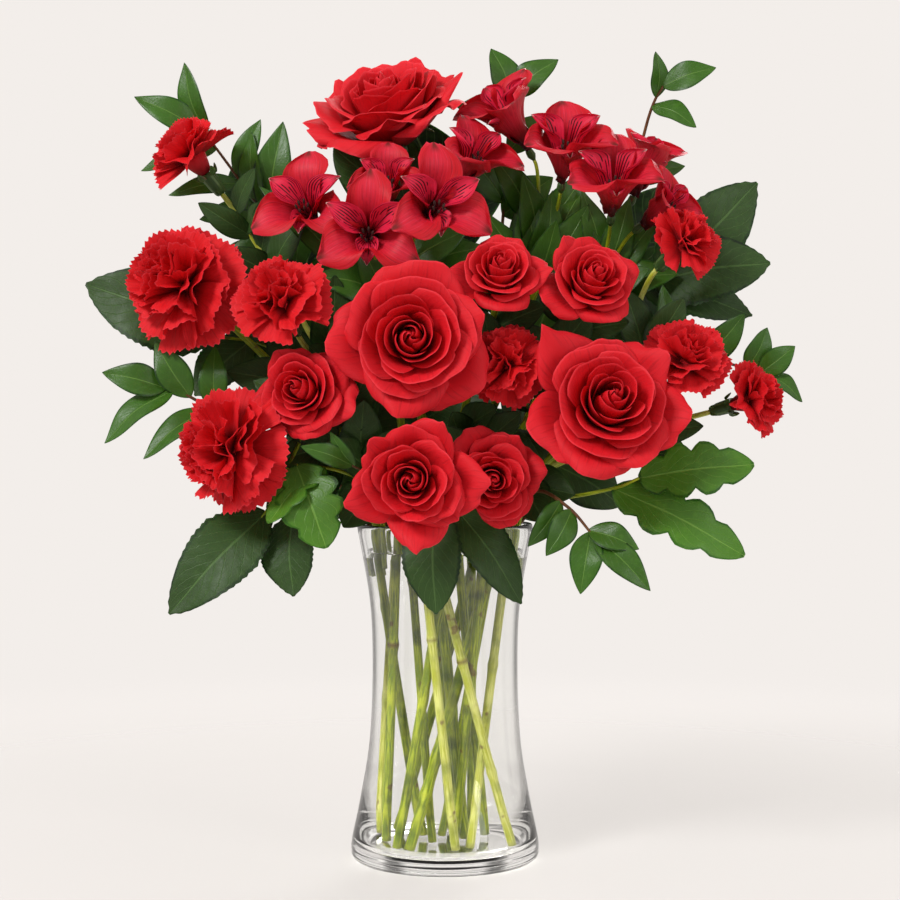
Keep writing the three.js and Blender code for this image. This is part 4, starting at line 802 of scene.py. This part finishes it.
def calyx(piece, plant, head, seat, axes, long, rng):
    """A carnation's green cup, with teeth round its mouth and small scales at its foot."""
    wide = 0.05 * head.width + 1.6
    u = np.linspace(0, 1, 12)
    radii = np.interp(u, [0, 0.12, 0.35, 0.7, 1], [1.6, 0.75 * wide, wide, 1.08 * wide, 1.15 * wide])
    piece.tube(seat + axes[2] * (u * long)[:, None], radii, "calyx", 14)
    for i in range(5):
        angle = 2 * math.pi * i / 5 + 0.4
        rim = seat + axes[2] * (long - 2.5) + outward_from(axes, angle) * 1.1 * wide
        sepal(piece, rim, axes, angle, 0.12 * head.width, 5, math.radians(30))
    for i in range(4):
        angle = 2 * math.pi * i / 4
        sepal(piece, seat + outward_from(axes, angle) * 1.2, axes, angle, 6, 5, math.radians(-10))


def ovary(piece, plant, head, seat, axes, long, rng):
    """The green swollen end under an alstroemeria."""
    u = np.linspace(0, 1, 10)
    radii = np.interp(u, [0, 0.2, 0.45, 0.8, 1], [1.1, 1.9, 2.7, 2.5, 2.1])
    piece.tube(seat + axes[2] * (u * long)[:, None], radii, "calyx", 12)


# What carries a bloom: its shape, how far behind the bloom's middle it ends, how long it is, the radius of
# its branch on a forked stem, and the radii of a stem without a fork.
Ending = namedtuple("Ending", "shape back long branch taper", defaults=(None, None))
HIP = Ending(hip, lambda h: h.height, lambda h: 0.1 * h.width, taper=lambda r: (r, r - 0.3, r - 0.6))
CALYX = Ending(calyx, lambda h: 0.3 * h.width, lambda h: 0.2 * h.width + 4, branch=1.6,
               taper=lambda r: (r, r, r - 0.4, 1.9))
OVARY = Ending(ovary, lambda h: 0, lambda h: 7, branch=1.1)


def flower_stem(plant, ending):
    """A stem from the floor of the vase to its bloom, or to its fork and on to each bloom."""
    radius, rise = plant.radius, plant.rise
    piece = Piece(plant.name + "_stem", "flower_stem")
    rng = random.Random(piece.node)
    look = "stem_pale" if plant.name in PALE else "stem"
    start, origin, toward = straight_run(plant)
    line = []
    if plant.fork:
        fork = np.array(plant.fork, float)
        lean = unit(fork - origin)
        trunk = bezier(origin, origin + toward * rise, fork - lean * FORK_SETTLE, fork, 16)
        long_stem(piece, np.vstack([start, trunk]), [radius, radius, radius - 0.3], look)
        line += list(trunk)
        origin, toward, rise = trunk[12], lean, FORK_RISE
    for head in plant.heads:
        axes = pose_axes(head.faces)
        long = ending.long(head)
        seat = np.array(head.at, float) - axes[2] * (ending.back(head) + SEAT_GAP + long)
        free = bezier(origin, origin + toward * rise, seat - axes[2] * head.settle, seat, 16)
        line += list(free)
        if plant.fork:
            piece.tube(free, np.linspace(ending.branch * 1.15, ending.branch, len(free)), look, 9)
        else:
            long_stem(piece, np.vstack([start, free]), ending.taper(radius), look)
        ending.shape(piece, plant, head, seat, axes, long, rng)
    for table in (STEM_LEAVES, FILL):
        leaves(piece, table.get(plant.name, NO_LEAVES), line, rng, look)
    piece.finish()


def leafy_stem(plant):
    """A stem of foliage: green in the vase, and woody above it where it is a sprig."""
    piece = Piece(plant.name, "foliage")
    rng = random.Random(plant.name)
    start, mouth, _ = straight_run(plant)
    free = smooth_path([mouth, *plant.path], 7)
    points = np.vstack([np.linspace(start, mouth, 5)[:-1], free])
    radii = plant.radius * np.linspace(1, 0.5, len(points))
    bark = "twig" if plant.kind == "sprig" else "stem"
    piece.tube(points[:6], radii[:6], "stem", 9, foot_look="cut")
    piece.tube(points[4:], radii[4:] + 0.05, bark, 9)
    leaves(piece, (plant.kind, plant.leaves), free, rng, bark)
    leaves(piece, FILL.get(plant.name, NO_LEAVES), free, rng, "stem")
    piece.finish()


# ---------------------------------------------------------------- blooms

GOLDEN = math.radians(137.5)  # the angle by which each rose petal follows the last
# Rings of fans from the outside in, as (how many, degrees from the middle, reach, half width, how folded).
BIG_HEAD = [(7, 98, 1.06, 0.58, 0.05), (7, 78, 1.02, 0.56, 0.12), (7, 58, 0.98, 0.5, 0.22),
            (6, 41, 0.95, 0.45, 0.32), (5, 24, 0.92, 0.4, 0.4), (4, 8, 0.9, 0.34, 0.45)]
MINI_HEAD = [(7, 76, 1.04, 0.68, 0.05), (6, 54, 1.0, 0.6, 0.14), (5, 32, 0.95, 0.52, 0.28),
             (4, 12, 0.92, 0.42, 0.4)]
BIG = 60  # a carnation wider than this has the rings of a big head
# Half the width of a tepal along it, for its length.
OUTER_TEPAL = [(0, 0.05), (0.12, 0.09), (0.3, 0.21), (0.5, 0.34), (0.68, 0.42), (0.83, 0.42), (0.93, 0.32),
               (0.98, 0.17), (1, 0.04)]
INNER_TEPAL = [(0, 0.04), (0.12, 0.06), (0.35, 0.16), (0.58, 0.26), (0.74, 0.29), (0.87, 0.23), (0.95, 0.12),
               (1, 0.01)]


def petal_net(rows, columns, crowding=1.0):
    """How far along and across a petal the points of its grid are, with more of them at its tip."""
    u = 1 - (1 - np.linspace(0, 1, rows)) ** crowding
    return np.meshgrid(u, np.linspace(-1, 1, columns), indexing="ij")


def start_bloom(head, look, back):
    """The piece of a bloom, its random draws, its axes and where it stands."""
    axes = pose_axes(head.faces)
    base = np.array(head.at, float) - axes[2] * back
    return Piece(head.name, look), random.Random(head.name), axes, base


def rose_bloom(rose):
    """Petals in a spiral, each wrapping those inside it: tight at the heart and rolled back at the rim."""
    radius, height, guards = rose.width / 2, rose.height, rose.guards
    piece, rng, axes, base = start_bloom(rose, "rose", height)
    count = 17 + rose.width // 8 + rose.more
    uu, vv = petal_net(22, 17, 1.35)
    u, v, side = uu[:, 0], vv[0], np.abs(vv[0])
    fine = np.linspace(0, 1, 81)[:, None]
    petals = []
    for k in range(count):
        s = (k / (count - 1)) ** 1.3  # 0 for the petal at the heart and 1 for the outermost
        azimuth = GOLDEN * k + rng.uniform(-0.34, 0.34)
        half = math.radians(92 - 38 * s) * rng.uniform(0.92, 1.08)
        reach, point = rng.uniform(0.92, 1.04), rose.point * (0.35 + 0.65 * s)
        roll = math.radians(-24 + 100 * s ** 0.6) * rng.uniform(0.7, 1.15)
        if k >= count - len(guards):
            turn, reach, spread, point, curl = guards[k - count]
            azimuth, half, roll = math.radians(turn), math.radians(spread), math.radians(0.7 * curl)
        phase, tilt = rng.uniform(0, 6.28), rng.uniform(-0.05, 0.05) * s
        # the middle line of the petal, from its foot to its rim
        r_line = bow(fine, 0.05 + 0.13 * s, 0.2 + 0.56 * s, 0.02 + 1.02 * s) * radius
        z_line = bow(fine, 0.02, 0.45 - 0.12 * s, 0.97 - rose.drop * s ** 1.3) * height
        dr, dz = np.gradient(r_line, axis=0), np.gradient(z_line, axis=0)
        # the sides roll back sooner and further than the middle, which leaves a tip
        start = 0.79 - (0.06 + 0.2 * point) * side - 0.08 * s
        rolled = roll * (1 - 0.45 * point * (1 - side)) * (1 + 0.3 * side * s)
        bend = np.radians(20 * s) * np.clip((fine - 0.5) / 0.3, 0, 1)
        bend = bend + rolled * np.clip((fine - start) / (1 - start), 0, 1) ** 1.2
        corners = 0.035 * s * (abs((1.6 * v + phase) % 2 - 1) - 0.5)
        tip = 0.12 * point * np.maximum(0, 1 - side / 0.45)
        length = reach * (1 + corners - 0.09 * side ** 3 - 0.05 * point * side + tip)
        r, z = walk(np.arctan2(dr, dz) + bend, np.hypot(dr, dz) * length)
        r, z = (np.stack([np.interp(u, fine[:, 0], column) for column in line.T], axis=1)
                for line in (r + r_line[0], z + z_line[0]))
        # one edge of each petal lies outside the next and the other inside the last
        r = r + radius * (0.05 - 0.02 * s) * vv * uu + 0.25
        ripple = 0.026 * np.sin(4.2 * vv + phase) * uu ** 4 + 0.014 * np.sin(11 * vv + 2 * phase) * uu ** 9
        ripple = radius * s * ripple * rose.ripple
        r = r * (1 + tilt * vv * uu) + ripple
        z = z - 0.03 * height * s * side ** 2 * uu + ripple
        narrowing = (0.26 + 0.3 * point) * np.clip((uu - 0.6) / 0.4, 0, 1) ** 2
        angle = azimuth + vv * half * np.clip(uu * 2.6, 0.05, 1) ** 0.7 * (1 - narrowing)
        grid = np.stack([r * np.cos(angle), r * np.sin(angle), z], axis=-1)
        petals.append((grid, spots_on(uu, vv, rng.random() * 0.3)))
    # the outermost petals reach the bloom's width
    width = np.mean([np.hypot(grid[..., 0], grid[..., 1]).max() for grid, _ in petals[-len(guards):]])
    scale = 1.02 * radius / width
    for grid, spots in petals:
        piece.sheet(base + grid * [scale, scale, 1] @ axes, PETAL, spots, "rose")
    # a dark core fills the heart, painted shade where the petals close in
    heart = [base + axes[2] * z * height for z in (0.01, 0.2, 0.5, 0.72, 0.84)]
    piece.tube(heart, [part * radius for part in (0.05, 0.13, 0.1, 0.05, 0.01)], "rose_heart", 10)
    piece.finish()


def carnation_bloom(head):
    """Fans with a toothed rim: broad and flat round the outside, folded and crumpled toward the middle."""
    radius = head.width / 2
    piece, rng, axes, base = start_bloom(head, "carnation", CALYX.back(head))
    uu, vv = petal_net(10, 37)
    for ring, (fans, degrees, far, broad, fold) in enumerate(BIG_HEAD if head.width > BIG else MINI_HEAD):
        for k in range(fans):
            # the fan's middle line, the direction across it, and the way it rises
            lean = math.radians(degrees + rng.uniform(-9, 9))
            turn = 2 * math.pi * (k + 0.37 * ring) / fans + rng.uniform(-0.22, 0.22)
            axis = math.sin(lean) * outward_from(np.eye(3), turn) + [0, 0, math.cos(lean)]
            over = unit(np.cross([0, 0, 1], axis))
            spin = rng.uniform(-1, 1) * (0.3 + 2.6 * fold)
            across = over * math.cos(spin) + np.cross(axis, over) * math.sin(spin)
            up = np.cross(axis, across)
            reach = radius * far * rng.uniform(0.9, 1.04)
            half = radius * broad * rng.uniform(0.85, 1.12)
            teeth = rng.choice((4, 4.5, 5, 5.5))
            saw = np.abs(((vv * teeth + rng.random()) % 1) - 0.5) * 2
            phase = rng.uniform(0, 6.28)
            length = uu * (1 - 0.2 * vv ** 2 - (0.075 * saw - 0.03 * np.sin(3 * vv + phase)) * uu ** 6)
            width = (0.1 + 0.9 * uu ** 0.75) * vv * (1 - 0.12 * np.abs(vv) * uu)
            waves = (0.05 + 0.16 * fold) * np.sin(3.4 * vv + phase) + 0.035 * np.sin(8.5 * vv + 2 * phase)
            crease = rng.choice((-1, 1)) * fold * np.abs(vv) * broad * uu ** 0.8
            sag = 0.05 * rng.uniform(-1, 1) * np.sin(4 * uu + phase)
            rise = radius * (waves * uu ** 1.6 + crease + sag)
            far_out = 0.12 * radius + (reach - 0.12 * radius) * length
            grid = axis * far_out[..., None] + across * (half * width)[..., None] + up * rise[..., None]
            grid[..., 2] += radius * (0.42 - 0.08 * uu ** 3 * degrees / 90)
            piece.sheet(base + grid @ axes, PETAL, spots_on(uu, vv, rng.random() * 0.3), "carnation")
    # the claws gather in a short neck that stands in the calyx
    neck = [base + axes[2] * z * radius for z in (0.004, 0.2, 0.45)]
    piece.tube(neck, [part * radius for part in (0.14, 0.22, 0.3)], "carnation", 12)
    piece.finish()


def alstroemeria_bloom(head):
    """Three broad outer tepals and three narrow striped inner ones round the throat, with curved stamens."""
    long, spread = head.long, head.open
    piece, rng, axes, base = start_bloom(head, "alstroemeria", OVARY.back(head))
    uu, vv = petal_net(25, 17)
    for k in range(6):
        outer, lowest = k % 2 == 0, k == 3
        middle = math.pi / 3 * k + math.pi / 2 + rng.uniform(-0.05, 0.05)
        reach = long * (1 if outer else 0.97) * (0.75 if lowest else 1)
        shape = np.interp(uu[:, 0], *np.transpose(OUTER_TEPAL if outer else INNER_TEPAL))
        shape = np.convolve(np.pad(shape, 1, mode="edge"), [0.25, 0.5, 0.25], "valid")
        tilt = spread * (0.62 if outer else 0.5) * (0.35 + 0.75 * uu) * rng.uniform(0.94, 1.06)
        back_curl = (0.45 if outer else 0.35) * spread * np.clip((uu - 0.66) / 0.34, 0, 1) ** 2
        r = reach * (uu * np.sin(tilt) + 0.22 * back_curl) + (3.4 if outer else 1.6) * np.clip(uu * 6, 0.3, 1)
        z = reach * (uu * np.cos(tilt) - 0.4 * back_curl)
        half = shape[:, None] * long * rng.uniform(0.94, 1.05)
        angle = middle + vv * np.minimum(math.radians(72 if outer else 50), half / np.maximum(r, 1.5))
        # each tepal is a shallow trough with a waved edge
        phase = rng.uniform(0, 6.28)
        wave = (0.085 if outer else 0.015) * np.sin(10 * uu + phase + 2 * vv) * vv ** 2
        crimp = (0.03 if outer else 0.01) * np.sin(23 * uu + 3 * phase) * np.abs(vv) ** 3 * uu
        cup = (0.1 if outer else 0.34) * half * vv ** 2 + long * (wave + crimp - 0.03 * np.cos(2.6 * vv) * uu)
        r, z = r - cup * np.cos(tilt), z + cup * np.sin(tilt)
        grid = np.stack([r * np.cos(angle), r * np.sin(angle), z], axis=-1)
        kind = 0.0 if outer else (0.7 if lowest else 1.0) + rng.uniform(-0.05, 0.05)
        piece.sheet(base + grid @ axes, PETAL, spots_on(uu, vv, kind), "alstroemeria")
    throat = [base + axes[2] * z * long for z in (0.0, 0.06, 0.12, 0.18)]
    piece.tube(throat, [2.0, 2.8, 3.4, 3.8], "stamen", 12)
    for i in range(6):
        out = outward_from(axes, 2 * math.pi * i / 6 + 0.3)
        down = -axes[1] * long * 0.16
        bends = [base + axes[2] * long * up + out * far + down * low for up, far, low in (
            (0.1, 1.2, 0), (0.34, 1.5, 0.3), (0.48, 2, 1), (0.54 + rng.uniform(-0.05, 0.05), 3, 0.6))]
        path = bezier(*bends, 10)
        piece.tube(path, np.linspace(0.55, 0.35, len(path)), "stamen", 6)
        tip = unit(path[-1] - path[-2])
        anther = [path[-1] + tip * far for far in (-0.4, 0.4, 1.8, 2.6)]
        piece.tube(anther, [0.4, 0.75, 0.7, 0.3], "anther", 7)
    piece.finish()


# ---------------------------------------------------------------- the vase and its water

# The vase in outline, as (radius, height).
SIDE = [(57.0, 6), (56.6, 12), (51.2, 38), (45.8, 72), (44, 115), (45.6, 156), (53.2, 200.5)]
FOOT_ROUND = [(0, 0.9), (30, 0.9), (44, 0.5), (47, 0), (52, 0), (54.6, 0.5), (56.2, 1.9), (57.0, 3.8)]
RIM_ROUND = [(52.9, 202.2), (52.2, 202.9), (51.4, 203), (50.6, 202.5), (50.25, 201.6)]
WELL = [(50.6, 14), (49.6, 10.6), (47.6, 8.6), (44.5, 7.6), (30, 7.5), (0, 7.5)]
WALL = 3
WALL_FOOT = 30  # below this the wall thickens into the base
WATER_TOP = 187
WET = 0.12  # how far the water runs into the glass, which it wets


def turned(name, slot, profile):
    """A closed body from a line of points [radius, height], turned about the axis."""
    piece = Piece(name, slot)
    segments = 96
    angles = np.linspace(0, 2 * np.pi, segments, endpoint=False)
    points, rings = [], []
    for r, z in profile:
        ring = angles if r else angles[:1]
        rings.append(np.resize(len(points) + np.arange(len(ring)), segments + 1))
        points += [(r * math.cos(a), r * math.sin(a), z) for a in ring]
    faces = [list(dict.fromkeys(face)) for face in quads(np.array(rings), flipped=True)]
    points = np.array(points, float)
    piece.add(points, faces, points / 100, slot)
    piece.finish()


outside = [tuple(point) for point in smooth_path(SIDE, 10)]
inside = [(r - WALL, z) for r, z in outside if z > WALL_FOOT]
turned("vase", "glass", FOOT_ROUND + outside + RIM_ROUND + inside[::-1] + WELL)

wet_well = [(r + WET if r else 0, z - WET) for r, z in WELL[::-1]]
wet_side = [(r + WET, z) for r, z in inside if z < WATER_TOP - 1.5]
edge = wet_side[-1][0]
meniscus = [(edge + 0.25, WATER_TOP + 0.1), (edge - 0.4, WATER_TOP - 0.6), (edge - 1.6, WATER_TOP - 0.95),
            (0, WATER_TOP - 1)]
turned("water", "water", wet_well + wet_side + meniscus)

for plants, bloom, ending in ((ROSES, rose_bloom, HIP), (CARNATIONS, carnation_bloom, CALYX),
                              (ALSTROEMERIA, alstroemeria_bloom, OVARY)):
    for plant in plants:
        for head in plant.heads:
            bloom(head)
        flower_stem(plant, ending)
for plant in FOLIAGE:
    leafy_stem(plant)

# ---------------------------------------------------------------- the floor, the light and the camera

FLOOR_HALF, FLOOR_DROP = 1.6, 0.0002  # metres. The drop keeps the floor off the vase's flat foot.
FLOOR_FADE = (0.2, 0.9)  # metres from the axis between which the floor thins out into the backdrop
BACKDROP_LIGHT = 0.55  # how much of the backdrop's brightness lights the flowers
CARDS, CARD_DARK = 8, 0.8  # how many dark cards there are, and how dark
MIDDLE = (0, 0, 0.28)  # metres, where the lamps point
CAMERA_AT, CAMERA_DOWN = (0.003, -1.15, 0.265), 0.88  # metres and degrees
LENS = 75.84  # on a frame 36 mm wide

corners = [(x * FLOOR_HALF, y * FLOOR_HALF, 0) for x, y in ((-1, -1), (1, -1), (1, 1), (-1, 1))]
floor_mesh = bpy.data.meshes.new("floor")
floor_mesh.from_pydata(corners, [], [[0, 1, 2, 3]])
floor = new_object("floor", floor_mesh)
floor.location.z = -FLOOR_DROP
ground = Shader("ground", Base_Color=srgb((232, 228, 225)), Roughness=0.7, Specular_IOR_Level=0.2)
from_axis = ground.node("VectorMath")
from_axis.operation = "LENGTH"
ground.feed(from_axis.inputs[0], ground.place)
ground.thin_out(ground.step(from_axis.outputs["Value"], *FLOOR_FADE, 0.45, 1))
floor_mesh.materials.append(LOOKS["ground"])

world = bpy.data.worlds.new("studio")
bpy.context.scene.world = world
studio = Nodes(world)
sky = world.node_tree.nodes["Background"]
sky.inputs["Color"].default_value = srgb((243, 238, 234))
# the backdrop is as bright as it looks, but lights the flowers less, so that the lamps shape them
ray = studio.node("LightPath").outputs
mirrored = studio.math("SUBTRACT", ray["Is Glossy Ray"], ray["Is Transmission Ray"])
bounced = studio.math("MAXIMUM", ray["Is Diffuse Ray"], mirrored)
backdrop = studio.step(bounced, 0, 1, 1, BACKDROP_LIGHT, smooth=False)
# dark upright cards stand round the studio, seen only through the glass, and draw its edges
compass = studio.node("SeparateXYZ", Vector=studio.node("TexCoord").outputs["Generated"]).outputs
turn = studio.math("ARCTAN2", compass["Y"], compass["X"])
card = studio.step(studio.math("COSINE", studio.times(turn, CARDS)), -0.95, -0.55, CARD_DARK, 0, smooth=False)
seen = studio.math("SUBTRACT", 1, studio.times(card, ray["Is Transmission Ray"]))
studio.feed(sky.inputs["Strength"], studio.times(backdrop, seen))


def lamp(name, place, target, size, watts):
    data = bpy.data.lights.new(name, "AREA")
    data.shape = "DISK"
    data.size, data.energy = size, watts
    thing = new_object(name, data)
    thing.location = place
    thing.rotation_mode = "QUATERNION"
    thing.rotation_quaternion = (Vector(target) - Vector(place)).to_track_quat("-Z", "Y")


lamp("key", (-1.3, -1.5, 1.6), MIDDLE, 0.7, 34)
lamp("fill", (1.5, -1.4, 0.8), MIDDLE, 1.0, 8)
lamp("back", (0.5, 1.5, 1.5), (0, 0, 0.3), 0.9, 16)

camera_data = bpy.data.cameras.new("camera")
camera_data.sensor_fit, camera_data.sensor_width, camera_data.lens = "HORIZONTAL", 36, LENS
camera_data.clip_start, camera_data.clip_end = 0.05, 50
camera = new_object("camera", camera_data)
camera.location = CAMERA_AT
camera.rotation_euler = (math.radians(90 - CAMERA_DOWN), 0, 0)
bpy.context.scene.camera = camera
bpy.context.scene.view_settings.view_transform = "Standard"

bpy.context.view_layer.update()
